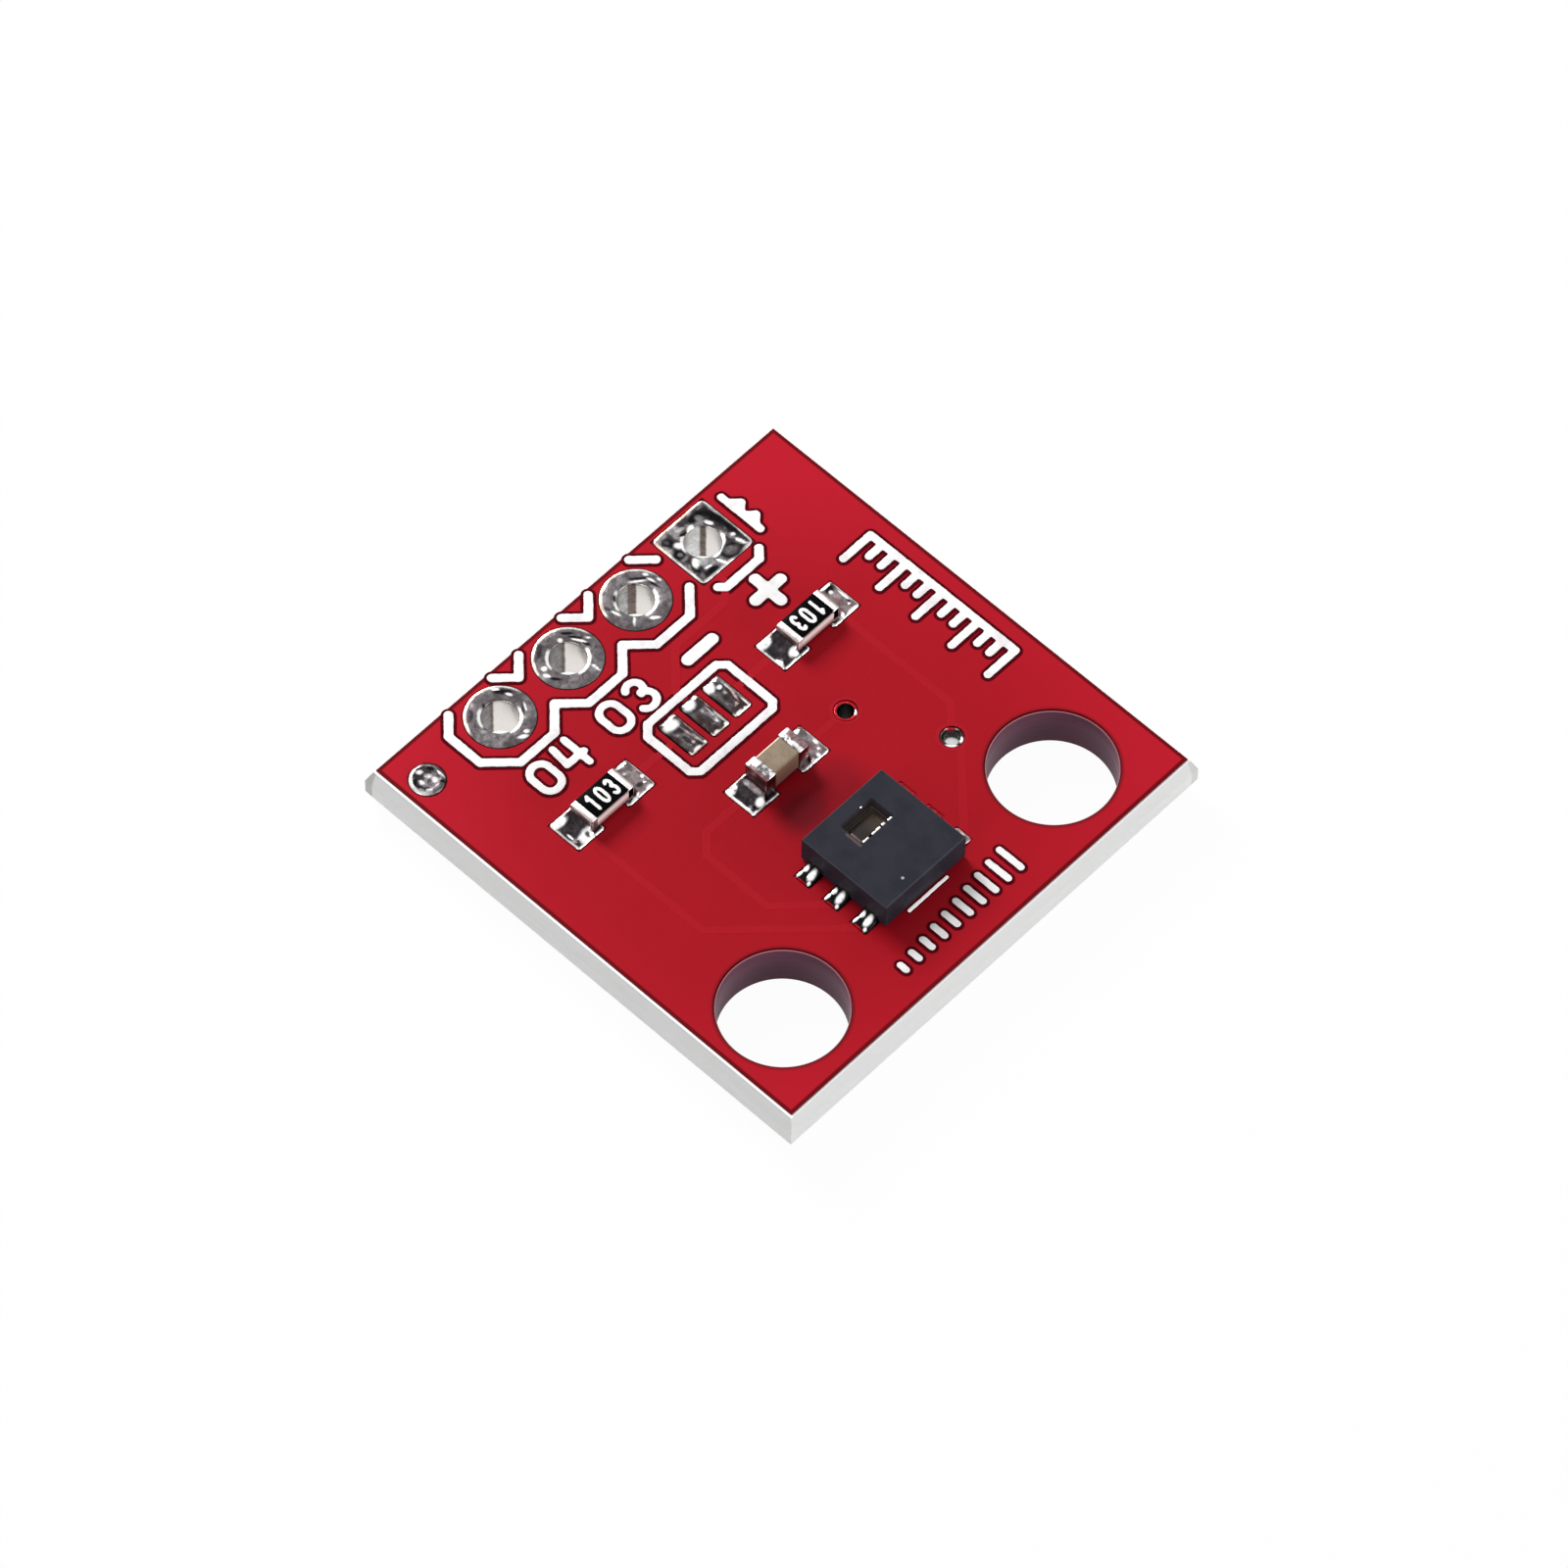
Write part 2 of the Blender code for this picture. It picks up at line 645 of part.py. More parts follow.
def make_jumper_pads(solder):
    """Three tinned pads with a pillow of solder on each."""
    rim = pad_top
    levels = [(laminate_top + LAYER_GAP, 0.0), (rim, 0.0)]
    for step in range(1, CROWN_STEPS + 1):
        turn = math.tau / 4 * step / CROWN_STEPS
        inset = JUMPER_CROWN_RUN * (1 - math.cos(turn))
        levels.append((rim + JUMPER_CROWN * math.sin(turn), inset))

    def build(bm):
        sections = []
        for z, inset in levels:
            width, length = JUMPER_PAD_WIDTH - 2 * inset, JUMPER_PAD_LENGTH - 2 * inset
            corner = max(JUMPER_PAD_CORNER - inset, JUMPER_PAD_CORNER / 2)
            corner = min(corner, width / 2.5)
            sections.append(at_level(rounded_rectangle((0, 0), width, length, corner), z))
        loft(bm, sections)

    mesh = mesh_of("jumper_pad", build, 50)
    for name, x in jumper_pads.items():
        place(name, mesh, solder, location=(x, resistor_y, 0))


# Solder between a land and the end of a part
def solder_mesh(name, end, toe, heel, land_width, end_width, rise):
    """A tinned land at the +X end of a part, with a concave fillet that climbs the part's end face."""
    base = laminate_top + LAYER_GAP
    half = land_width / 2
    widest = land_width - 2 * SOLDER_SHOULDER

    def section(x, width, height):
        points = [(x, half, pad_top), (x, -half, pad_top), (x, -half, base), (x, half, base)]
        arch = [(x, width / 2, pad_top)]
        for turn in half_turns(FILLET_FACETS):
            lean = math.copysign(abs(math.cos(turn)) ** 0.7, math.cos(turn))
            arch.append((x, width / 2 * lean, pad_top + height * math.sin(turn) ** 0.6))
        arch.append((x, -width / 2, pad_top))
        return points[:1] + arch + points[1:]

    def build(bm):
        face = end + FIT_GAP
        sections = [section(end - heel, widest, SOLDER_JOINT), section(face, widest, SOLDER_JOINT)]
        for step in range(FILLET_STEPS + 1):
            away = step / FILLET_STEPS
            climb = 1 - math.sqrt(1 - 0.96 * (1 - away) ** 2)
            height = SOLDER_EDGE_HEIGHT + (rise - SOLDER_EDGE_HEIGHT) * climb
            width = end_width + (widest - end_width) * min(1.0, 1.6 * away)
            sections.append(section(face + toe * away, width, height))
        loft(bm, sections)

    return mesh_of(name, build, 60)


# Chips
def prism_along_y(outline, width):
    """An outline of (x, z) points, extruded across a chip."""

    def build(bm):
        loft(bm, [[(x, y, z) for x, z in outline] for y in (-width / 2, width / 2)])

    return build


def resistor_band_outline():
    """The C of metal that wraps the +X end: over the top, down the end and back underneath."""
    end = CHIP_LENGTH / 2
    mouth = end - RESISTOR_BAND
    wall = RESISTOR_PLATING
    top = RESISTOR_HEIGHT
    turn = PLATING_ROUND
    corner = []
    for step in range(ARC_FACETS + 1):
        angle = math.tau / 4 * step / ARC_FACETS
        corner.append((end - turn + turn * math.sin(angle), top - turn + turn * math.cos(angle)))
    lower = [(x, top - z) for x, z in reversed(corner)]
    inner = [(mouth, wall), (end - wall, wall), (end - wall, top - wall), (mouth, top - wall)]
    return [(mouth, top)] + corner + lower + [(mouth, 0)] + inner


def make_resistors(finishes):
    fit = RESISTOR_PLATING + FIT_GAP
    core_half = CHIP_LENGTH / 2 - fit
    core = [(-core_half, fit), (core_half, fit)]
    core += [(core_half, RESISTOR_HEIGHT - fit), (-core_half, RESISTOR_HEIGHT - fit)]
    core_mesh = mesh_of("resistor_core", prism_along_y(core, CHIP_WIDTH))
    band_mesh = mesh_of("resistor_band", prism_along_y(resistor_band_outline(), CHIP_WIDTH), 50)
    glaze_length = CHIP_LENGTH - 2 * (RESISTOR_BAND + FIT_GAP)
    glaze_width = CHIP_WIDTH - 2 * GLAZE_SIDE_MARGIN
    glaze_base = RESISTOR_HEIGHT - RESISTOR_PLATING
    shoulder = GLAZE_THICKNESS * 0.6

    def build_glaze(bm):
        levels = [(0.0, 0.0), (shoulder, 0.0), (GLAZE_THICKNESS, shoulder)]
        sections = []
        for rise, inset in levels:
            size = (glaze_length - 2 * inset, glaze_width - 2 * inset)
            sections.append(at_level(rounded_rectangle((0, 0), *size, shoulder), glaze_base + rise))
        loft(bm, sections)

    glaze_mesh = mesh_of("resistor_glaze", build_glaze, 50)
    land = (CHIP_LENGTH / 2, LAND_TOE, LAND_HEEL, LAND_WIDTH)
    joint_mesh = solder_mesh("resistor_solder", *land, CHIP_WIDTH, RESISTOR_SOLDER_RISE)
    for name, centre in resistors.items():
        turn = 0.0 if name == "resistor_left" else math.pi
        chip = place(name, None, location=(*centre, 0), turn=turn)
        up = (0, 0, chip_bottom)
        place(f"{name}_core", core_mesh, finishes["ceramic"], chip, up)
        place(f"{name}_glaze", glaze_mesh, finishes["glaze"], chip, up)
        for end, angle in (("a", 0.0), ("b", math.pi)):
            place(f"{name}_band_{end}", band_mesh, finishes["band"], chip, up, angle)
            place(f"{name}_solder_{end}", joint_mesh, finishes["solder"], chip, turn=angle)


def chip_ring(x, half_width, half_height, corner):
    """A rounded section of the capacitor, square to its length."""
    outline = rounded_rectangle((0, CAPACITOR_HEIGHT / 2), 2 * half_width, 2 * half_height, corner)
    return [(x, y, z) for y, z in outline]


def make_capacitor(finishes):
    wall = CAPACITOR_PLATING
    fit = wall + FIT_GAP
    wide, tall = CHIP_WIDTH / 2, CAPACITOR_HEIGHT / 2
    end = CHIP_LENGTH / 2
    inner = (wide - wall, tall - wall, CAPACITOR_CORNER - wall / 2)
    outer = (wide, tall, CAPACITOR_CORNER)
    softened = (wide - PLATING_ROUND, tall - PLATING_ROUND, CAPACITOR_CORNER / 2)
    eased = (wide - PLATING_ROUND * 0.3, tall - PLATING_ROUND * 0.3, CAPACITOR_CORNER * 0.8)

    def build_body(bm):
        size = (wide - fit, tall - fit, CAPACITOR_CORNER - fit / 2)
        loft(bm, [chip_ring(x, *size) for x in (fit - end, end - fit)])

    def build_band(bm):
        rings = [
            (end - wall, inner),
            (end - CAPACITOR_BAND, inner),
            (end - CAPACITOR_BAND, outer),
            (end - PLATING_ROUND, outer),
            (end - PLATING_ROUND * 0.3, eased),
            (end, softened),
        ]
        loft(bm, [chip_ring(x, *size) for x, size in rings])

    band_mesh = mesh_of("capacitor_band", build_band, 40)
    land = (end, LAND_TOE, LAND_HEEL, LAND_WIDTH)
    joint_mesh = solder_mesh("capacitor_solder", *land, CHIP_WIDTH, CAPACITOR_SOLDER_RISE)
    chip = place("capacitor", None, location=(*capacitor, 0))
    up = (0, 0, chip_bottom)
    place("capacitor_body", mesh_of("capacitor_body", build_body, 40), finishes["dielectric"], chip, up)
    for name, angle in (("a", 0.0), ("b", math.pi)):
        place(f"capacitor_band_{name}", band_mesh, finishes["band"], chip, up, angle)
        place(f"capacitor_solder_{name}", joint_mesh, finishes["solder"], chip, turn=angle)


# Sensor
def sensor_outline(inset):
    """The moulding's outline, drawn in by an inset."""
    side = SENSOR_SIDE - 2 * inset
    return rectangle(side, side)


def box(bm, low, high):
    outline = [(low[0], low[1]), (high[0], low[1]), (high[0], high[1]), (low[0], high[1])]
    prism(bm, outline, low[2], high[2])


def lead_box(side, y, grow=0.0):
    """The lowest and highest corners of one flush lead, at rest under the moulding's edge."""
    outer = SENSOR_SIDE / 2 + SENSOR_LEAD_PROUD
    inner = outer - SENSOR_LEAD_LENGTH - grow
    xs = sorted((side * inner, side * (outer + grow)))
    half = SENSOR_LEAD_WIDTH / 2 + grow
    return (xs[0], y - half, -grow), (xs[1], y + half, SENSOR_LEAD_THICKNESS + grow)


def window_ring(z, shrink):
    centre_y = SENSOR_SIDE / 2 - WINDOW_BACK_WALL - WINDOW_WIDTH / 2
    size = (WINDOW_LENGTH - 2 * shrink, WINDOW_WIDTH - 2 * shrink)
    return at_level(rounded_rectangle((WINDOW_SIDE_SHIFT, centre_y), *size, WINDOW_TAPER), z)


def make_sensor(finishes):
    root = place("sensor", None, location=(*sensor, chip_bottom))
    top = SENSOR_STANDOFF + SENSOR_HEIGHT
    steps = (1, 0, -1)

    def build_body(bm):
        edge = SENSOR_EDGE_BREAK
        levels = [(SENSOR_STANDOFF, 0.0), (top - edge, 0.0), (top, edge)]
        loft(bm, [at_level(sensor_outline(inset), z) for z, inset in levels])

    def build_window(bm):
        floor = top - WINDOW_DEPTH
        above = top + WINDOW_DEPTH
        loft(bm, [window_ring(floor, WINDOW_TAPER), window_ring(top, 0), window_ring(above, 0)])

    def build_pockets(bm):
        for side in (-1, 1):
            for step in steps:
                low, high = lead_box(side, step * SENSOR_LEAD_PITCH, FIT_GAP)
                box(bm, low, high)
        half = (SENSOR_PAD_WIDTH / 2 + FIT_GAP, SENSOR_PAD_LENGTH / 2 + FIT_GAP)
        box(bm, (-half[0], -half[1], -FIT_GAP), (*half, SENSOR_PAD_THICKNESS + FIT_GAP))

    def build_element(bm):
        floor = top - WINDOW_DEPTH + LAYER_GAP
        shrink = WINDOW_TAPER + ELEMENT_MARGIN
        high = floor + ELEMENT_THICKNESS
        loft(bm, [window_ring(floor, shrink), window_ring(high, shrink)])

    housing = place("sensor_housing", mesh_of("sensor_housing", build_body), finishes["mould"], root)
    boolean(housing, cutter("sensor_window", build_window, root))
    boolean(housing, cutter("sensor_pockets", build_pockets, root))
    place("sensor_element", mesh_of("sensor_element", build_element), finishes["element"], root)

    def build_pad(bm):
        half = (SENSOR_PAD_WIDTH / 2, SENSOR_PAD_LENGTH / 2)
        box(bm, (-half[0], -half[1], 0), (*half, SENSOR_PAD_THICKNESS))

    place("sensor_thermal_pad", mesh_of("sensor_thermal_pad", build_pad), finishes["band"], root)
    lead_mesh = mesh_of("sensor_lead", lambda bm: box(bm, *lead_box(1, 0.0)))
    joint_mesh = solder_mesh(
        "sensor_solder",
        SENSOR_SIDE / 2 + SENSOR_LEAD_PROUD,
        SENSOR_LAND_TOE,
        SENSOR_LAND_HEEL,
        SENSOR_LAND_WIDTH,
        SENSOR_LEAD_WIDTH,
        SENSOR_SOLDER_RISE,
    )
    leads = [(-1, step) for step in steps] + [(1, step) for step in reversed(steps)]
    for number, (side, step) in enumerate(leads, start=1):
        angle = 0.0 if side > 0 else math.pi
        y = step * SENSOR_LEAD_PITCH
        place(f"sensor_lead_{number}", lead_mesh, finishes["band"], root, (0, y, 0), angle)
        down = (0, y, -chip_bottom)
        place(f"sensor_solder_{number}", joint_mesh, finishes["solder"], root, down, angle)


# Printed legend
def header_outline():
    """One line round the front of pins 4, 3 and 2, notched between them."""
    flat = HEADER_PITCH / 2 - (OUTLINE_REACH - OUTLINE_NOTCH)
    left = header_pins[4][0] - OUTLINE_REACH
    corner = OUTLINE_REACH - flat
    points = [
        (left + OUTLINE_END_RUN, header_y + OUTLINE_END_RISE),
        (left, header_y + OUTLINE_END_RISE - OUTLINE_END_RUN),
        (left, header_y - flat),
        (left + corner, header_y - OUTLINE_REACH),
    ]
    for pin in (4, 3, 2):
        x = header_pins[pin][0]
        if pin != 4:
            points.append((x - flat, header_y - OUTLINE_REACH))
        points.append((x + flat, header_y - OUTLINE_REACH))
        points.append((x + HEADER_PITCH / 2, header_y - OUTLINE_NOTCH))
    return points


def edge_marks():
    """Chevrons between the pads at the board's back edge; the last is a single stroke."""
    marks = {}
    rise = header_y + OUTLINE_END_RISE
    run = OUTLINE_END_RISE - CHEVRON_DEPTH
    for name, pin in {"legend_chevron_left": 4, "legend_chevron_middle": 3, "legend_stroke_right": 2}.items():
        x = header_pins[pin][0] + HEADER_PITCH / 2
        marks[name] = [(x - run, rise), (x, rise - run), (x + run, rise)]
    marks["legend_stroke_right"].pop()
    return marks


def pin_mark():
    """A shallow trough in front of pin 1."""
    x = header_pins[1][0]
    y = header_y - PIN_MARK_REACH
    flat = PIN_MARK_HALF - PIN_MARK_RISE
    return [
        (x - PIN_MARK_HALF, y + PIN_MARK_RISE),
        (x - flat, y),
        (x + flat, y),
        (x + PIN_MARK_HALF, y + PIN_MARK_RISE),
    ]


def pin_bar_outline():
    """An upright bar beside pin 1, with two round bumps on its outer side."""
    x = header_pins[1][0] + PIN_BAR_REACH
    low, high = header_y - PIN_BAR_FRONT, header_y + PIN_BAR_BACK
    wavy = high - low - 2 * PIN_BAR_END
    half = INK_LINE / 2
    outline = [(x + half, low)]
    for step in range(PIN_BAR_STEPS + 1):
        share = step / PIN_BAR_STEPS
        bump = PIN_BAR_BUMP * math.sin(math.tau * share) ** 2
        outline.append((x + half + bump, low + PIN_BAR_END + wavy * share))
    outline.append((x + half, high))
    turns = half_turns(CAP_FACETS)
    outline += [(x + half * math.cos(turn), high + half * math.sin(turn)) for turn in turns]
    outline += [(x - half, high), (x - half, low)]
    outline += [(x - half * math.cos(turn), low - half * math.sin(turn)) for turn in turns]
    return outline


def make_legend(ink):
    top = ink_bottom + INK_THICKNESS
    outlines = {"legend_header_outline": stroke(header_outline(), INK_LINE)}
    for name, points in edge_marks().items():
        outlines[name] = stroke(points, INK_LINE)
    outlines["legend_pin_mark"] = stroke(pin_mark(), INK_LINE)
    outlines["legend_pin_bar"] = pin_bar_outline()
    bar_y = sensor_y - SENSOR_SIDE / 2 - SENSOR_BAR_GAP
    bar_half = SENSOR_BAR_LENGTH / 2
    bar = [(row_x - bar_half, bar_y), (row_x + bar_half, bar_y)]
    outlines["legend_sensor_bar"] = stroke(bar, SENSOR_BAR_LINE)
    for name, outline in outlines.items():
        place(name, mesh_of(name, prisms([outline], ink_bottom, top)), ink)

    def build_frame(bm):
        length = 2 * JUMPER_PITCH + JUMPER_PAD_WIDTH + 2 * JUMPER_FRAME_SIDE_GAP
        width = JUMPER_FRAME_FRONT_GAP + JUMPER_PAD_LENGTH + JUMPER_FRAME_BACK_GAP
        centre = (jumper_x, resistor_y + (JUMPER_FRAME_BACK_GAP - JUMPER_FRAME_FRONT_GAP) / 2)
        line = JUMPER_FRAME_LINE / 2
        change = line * (2 - math.sqrt(2))
        cut = JUMPER_FRAME_CORNER
        outer = cut_rectangle(centre, length + 2 * line, width + 2 * line, cut + change)
        inner = cut_rectangle(centre, length - 2 * line, width - 2 * line, cut - change)
        rings = [(outer, ink_bottom), (outer, top), (inner, top), (inner, ink_bottom)]
        loft(bm, [at_level(outline, z) for outline, z in rings], closed=True)

    place("legend_jumper_frame", mesh_of("legend_jumper_frame", build_frame), ink)


def main():
    clear_scene()
    finishes = {
        "tin": material("tinned copper", (0.45, 0.45, 0.46), 0.30, 1.0),
        "solder": material("solder", (0.35, 0.35, 0.37), 0.28, 1.0),
        "band": material("tin plating", (0.72, 0.70, 0.69), 0.35, 1.0),
        "ceramic": material("chip ceramic", (0.75, 0.68, 0.64), 0.60),
        "glaze": material("black glaze", (0.010, 0.010, 0.012), 0.40),
        "dielectric": material("capacitor ceramic", (0.30, 0.23, 0.15), 0.50),
        "mould": material("sensor moulding", (0.030, 0.032, 0.045), 0.55),
        "element": material("sensing element", (0.060, 0.030, 0.018), 0.35),
    }
    make_laminate()
    openings = shared_openings() + part_openings()
    make_mask("solder_mask_top", mask_top, laminate_top + LAYER_GAP, openings, top_tracks())
    below = laminate_bottom - LAYER_GAP
    make_mask("solder_mask_bottom", mask_bottom, below, shared_openings(), bottom_tracks())
    make_header_pads(finishes["tin"])
    make_vias(finishes["tin"])
    make_corner_pad(finishes["solder"])
    make_jumper_pads(finishes["solder"])
    make_resistors(finishes)
    make_capacitor(finishes)
    make_sensor(finishes)
    make_legend(material("white legend ink", (0.90, 0.90, 0.88), 0.50))


main()
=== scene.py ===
"""How the temperature and humidity sensor module looks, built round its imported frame.

Shapes are drawn in millimetres and become metres when a piece is finished. The header row is at +Y,
the two mounting holes are at -Y, and the board lies on a white floor.
"""

import math

import bmesh
import bpy
from mathutils import Matrix, Vector, noise


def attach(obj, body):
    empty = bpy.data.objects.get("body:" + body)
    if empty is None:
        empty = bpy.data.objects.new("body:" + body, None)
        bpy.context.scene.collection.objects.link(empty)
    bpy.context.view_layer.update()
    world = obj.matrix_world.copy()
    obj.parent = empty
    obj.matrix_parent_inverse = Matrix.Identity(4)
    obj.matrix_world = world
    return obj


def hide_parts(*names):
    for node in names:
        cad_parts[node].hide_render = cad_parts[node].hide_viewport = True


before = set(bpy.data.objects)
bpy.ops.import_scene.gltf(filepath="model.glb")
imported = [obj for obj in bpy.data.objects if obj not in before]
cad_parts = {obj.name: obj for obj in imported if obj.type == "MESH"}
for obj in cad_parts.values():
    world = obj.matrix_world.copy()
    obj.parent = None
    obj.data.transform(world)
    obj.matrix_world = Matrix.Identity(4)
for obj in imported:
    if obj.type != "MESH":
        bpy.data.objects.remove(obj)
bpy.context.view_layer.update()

MM = 1e-3

# Levels of the board, in millimetres
LAMINATE_BOTTOM, LAMINATE_TOP = 0.05, 1.45
COPPER_BASE = 1.454
MASK_BOTTOM, MASK_TOP = 0.016, 1.484
MASK_HALF = (MASK_TOP - MASK_BOTTOM) / 2
BOARD_MIDDLE = (MASK_TOP + MASK_BOTTOM) / 2
PAD_TOP = 1.5
SOLDER_FOOT = PAD_TOP - 0.012
INK_LEVEL, INK_THICKNESS, RIM_THICKNESS = 1.5, 0.016, 0.006
CHIP_BOTTOM = 1.524
HOUSING_TOP = 2.444

# Half the length and half the width of a chip
CHIP_END, CHIP_SIDE = 0.8, 0.4

# Places on the board
ROW_X = -0.24
HEADER_Y = 6.31
PIN_X = {1: 3.57, 2: 1.03, 3: -1.51, 4: -4.05}
PITCH = 2.54
RESISTOR_Y = 2.5
RESISTORS = {"resistor_left": ((-4.14, RESISTOR_Y), 0.0), "resistor_right": ((3.58, RESISTOR_Y), math.pi)}
CAPACITOR = (-0.24, -0.04)
SENSOR = (-0.24, -3.85)
WINDOW = (-0.16, -3.17)
MOUNT_HOLES = {"left": (-5.32, -5.12), "right": (4.84, -5.12)}
CORNER_PAD = (-6.75, 6.31)
JUMPER_PADS = {"jumper_pad_left": -1.135, "jumper_pad_middle": -0.31, "jumper_pad_right": 0.515}

# Radii of the holes and the lips of their pads
HEADER_BORE, HEADER_LIP = 0.5, 0.97
VIA_BORE, VIA_LIP = 0.23, 0.31
BARREL_WALL = 0.035
MOUNT_RADIUS = 1.75

WHITE = (1.0, 1.0, 1.0)

# Tones in which solder and tin are painted with their reflections and glints, from the darkest reflection to
# a glint
TONES = {
    "black": (0.008, 0.008, 0.009),
    "dark": (0.046, 0.038, 0.042),
    "dull": (0.112, 0.097, 0.102),
    "ash": (0.16, 0.146, 0.151),
    "grey": (0.215, 0.2, 0.205),
    "silver": (0.4, 0.4, 0.4),
    "pale": (0.66, 0.66, 0.65),
    "white": (0.98, 0.98, 0.97),
    "cream": (0.83, 0.79, 0.75),
    "amber": (0.66, 0.42, 0.27),
    "brown": (0.15, 0.115, 0.1),
    "umber": (0.045, 0.028, 0.024),
    "mauve": (0.29, 0.235, 0.24),
    "plum": (0.2, 0.13, 0.135),
    "red": (0.4, 0.011, 0.02),
    "pink": (0.55, 0.4, 0.4),
}


# Shader maths
def feed(tree, slot, value):
    """Link a signal to a node's socket, or write a plain value in it."""
    if isinstance(value, Signal):
        tree.links.new(value.socket, slot)
    elif isinstance(value, tuple) and slot.type == "RGBA":
        slot.default_value = (*value[:3], 1.0)
    else:
        slot.default_value = value


def add_node(tree, kind, settings=None, sockets=None, output=0):
    """A node of any type: its settings come first, then the values or links of its sockets."""
    node = tree.nodes.new(f"ShaderNode{kind}")
    for name, value in (settings or {}).items():
        setattr(node, name, value)
    for name, value in (sockets or {}).items():
        feed(tree, node.inputs[name], value)
    return Signal(tree, node.outputs[output])


def operator(operation, reflected=False):
    """A Python operator that adds a Math node."""

    def apply(self, *others):
        terms = (*others, self) if reflected else (self, *others)
        return add_node(self.tree, "Math", {"operation": operation}, dict(enumerate(terms)))

    return apply


class Signal:
    """An output of a shader node. Sums on it add Math nodes."""

    def __init__(self, tree, socket):
        self.tree, self.socket = tree, socket

    __add__ = __radd__ = operator("ADD")
    __mul__ = __rmul__ = operator("MULTIPLY")
    __sub__ = operator("SUBTRACT")
    __rsub__ = operator("SUBTRACT", reflected=True)
    __pow__ = operator("POWER")
    __abs__ = operator("ABSOLUTE")
    __or__ = operator("MAXIMUM")
    __and__ = operator("MINIMUM")

    def step(self, low, high):
        """0 at low and 1 at high, with soft ends."""
        sockets = {"Value": self, "From Min": low, "From Max": high}
        return add_node(self.tree, "MapRange", {"interpolation_type": "SMOOTHSTEP"}, sockets)

    def between(self, low, high):
        """A value from 0 to 1, spread from low to high."""
        return self * (high - low) + low

    def blend(self, first, second):
        """The first colour where this is 0, and the second one where it is 1."""
        return add_node(self.tree, "Mix", {"data_type": "RGBA"}, {0: self, 6: first, 7: second}, 2)


class Finish:
    """A procedural material, with patterns that are laid out in millimetres."""

    def __init__(self, name, **constants):
        self.material = bpy.data.materials.new(name)
        self.material.use_nodes = True
        self.tree = self.material.node_tree
        for socket, value in constants.items():
            self.put(socket.replace("_", " "), value)
        spot = self.add("TexCoord", output="Object")
        self.place = self.add("Mapping", sockets={"Vector": spot, "Scale": (1000, 1000, 1000)})
        self.x, self.y, self.z = [
            self.add("SeparateXYZ", sockets={"Vector": self.place}, output=axis) for axis in "XYZ"
        ]

    def add(self, kind, settings=None, sockets=None, output=0):
        return add_node(self.tree, kind, settings, sockets, output)

    def put(self, socket, value):
        feed(self.tree, self.tree.nodes["Principled BSDF"].inputs[socket], value)

    def noise(self, scale, detail=2.0, roughness=0.5, distortion=0.0, stretch=None):
        place = self.place
        if stretch:
            place = self.add("Mapping", sockets={"Vector": place, "Scale": stretch})
        sockets = {"Vector": place, "Scale": scale, "Detail": detail}
        return self.add("TexNoise", {}, sockets | {"Roughness": roughness, "Distortion": distortion})

    def wave(self, direction, scale):
        return self.add("TexWave", {"bands_direction": direction}, {"Vector": self.place, "Scale": scale})

    def upward(self):
        """1 on faces that look up, 0 on upright ones."""
        facing = self.add("TexCoord", output="Normal")
        return self.add("SeparateXYZ", sockets={"Vector": facing}, output="Z").step(0.35, 0.8)

    def distance(self, centre, weights=(1.0, 1.0)):
        """How far a point is from an upright axis, in millimetres; weights draw the circle in."""
        across, along = self.x - centre[0], self.y - centre[1]
        return (across * across * weights[0] + along * along * weights[1]) ** 0.5

    def reach(self, centre=(0.0, 0.0)):
        """How far a point is from a centre along X or Y, whichever is more."""
        return abs(self.x - centre[0]) | abs(self.y - centre[1])

    def done(self, colour, pattern, roughness, relief=None, depth=0.0, normal=None):
        """Wire up the colour, a roughness that follows a pattern, and a relief of a depth in millimetres."""
        self.put("Base Color", colour)
        self.put("Roughness", pattern.between(*roughness))
        if relief:
            sockets = {"Distance": depth * MM, "Height": relief}
            if normal:
                sockets["Normal"] = normal
            self.put("Normal", self.add("Bump", {}, sockets))
        return self.material


# Finishes
def solder_mask_finish():
    """Red mask: lighter on tracks, with a painted sheen that lightens it far from the parts, painted shade at
    its edge and round the mounting holes, and a painted shadow between the capacitor and the sensor.
    """
    finish = Finish("red solder mask", Specular_IOR_Level=0.06)
    cloud, peel = finish.noise(0.35, 3.0), finish.noise(9.0)
    weave = finish.wave("X", 0.72) * finish.wave("Y", 0.72)
    red = cloud.step(0.35, 0.65).blend((0.384, 0.006, 0.0138), (0.406, 0.0067, 0.0152))
    # Painted sheen: the red gets lighter far from the middle of the parts
    red = finish.distance((-0.6, -0.7)).step(4.8, 11.0).blend(red, (0.522, 0.0098, 0.0245))
    # Painted shadow that the capacitor and the sensor cast on the mask between them
    shade = finish.distance((-0.6, -1.42), (1.5, 1.9)).step(1.35, 0.35)
    faint = finish.distance((0.55, -1.45)).step(1.2, 0.4)
    painted_shadow = (shade * 0.62 | faint * 0.3) * finish.z.step(1.0, 1.2)
    red = painted_shadow.blend(red, (0.085, 0.006, 0.013))
    raised = abs(finish.z - BOARD_MIDDLE).step(MASK_HALF + 0.001, MASK_HALF + 0.01)
    red = (raised * 0.2).blend(red, (0.53, 0.016, 0.03))
    # Painted shade: a dark line along the mask's outer edge
    red = finish.reach().step(7.345, 7.39).blend(red, (0.15, 0.0011, 0.0045))
    # Painted shade: a darker ring on the mask round each mounting hole
    holes = finish.distance(MOUNT_HOLES["left"]) & finish.distance(MOUNT_HOLES["right"])
    red = (holes.step(1.9, 1.82) * 0.5).blend(red, (0.13, 0.003, 0.006))
    return finish.done(red, peel, (0.34, 0.46), peel * 0.7 + weave * 0.3, 0.0025, smoothed_ridges(finish))


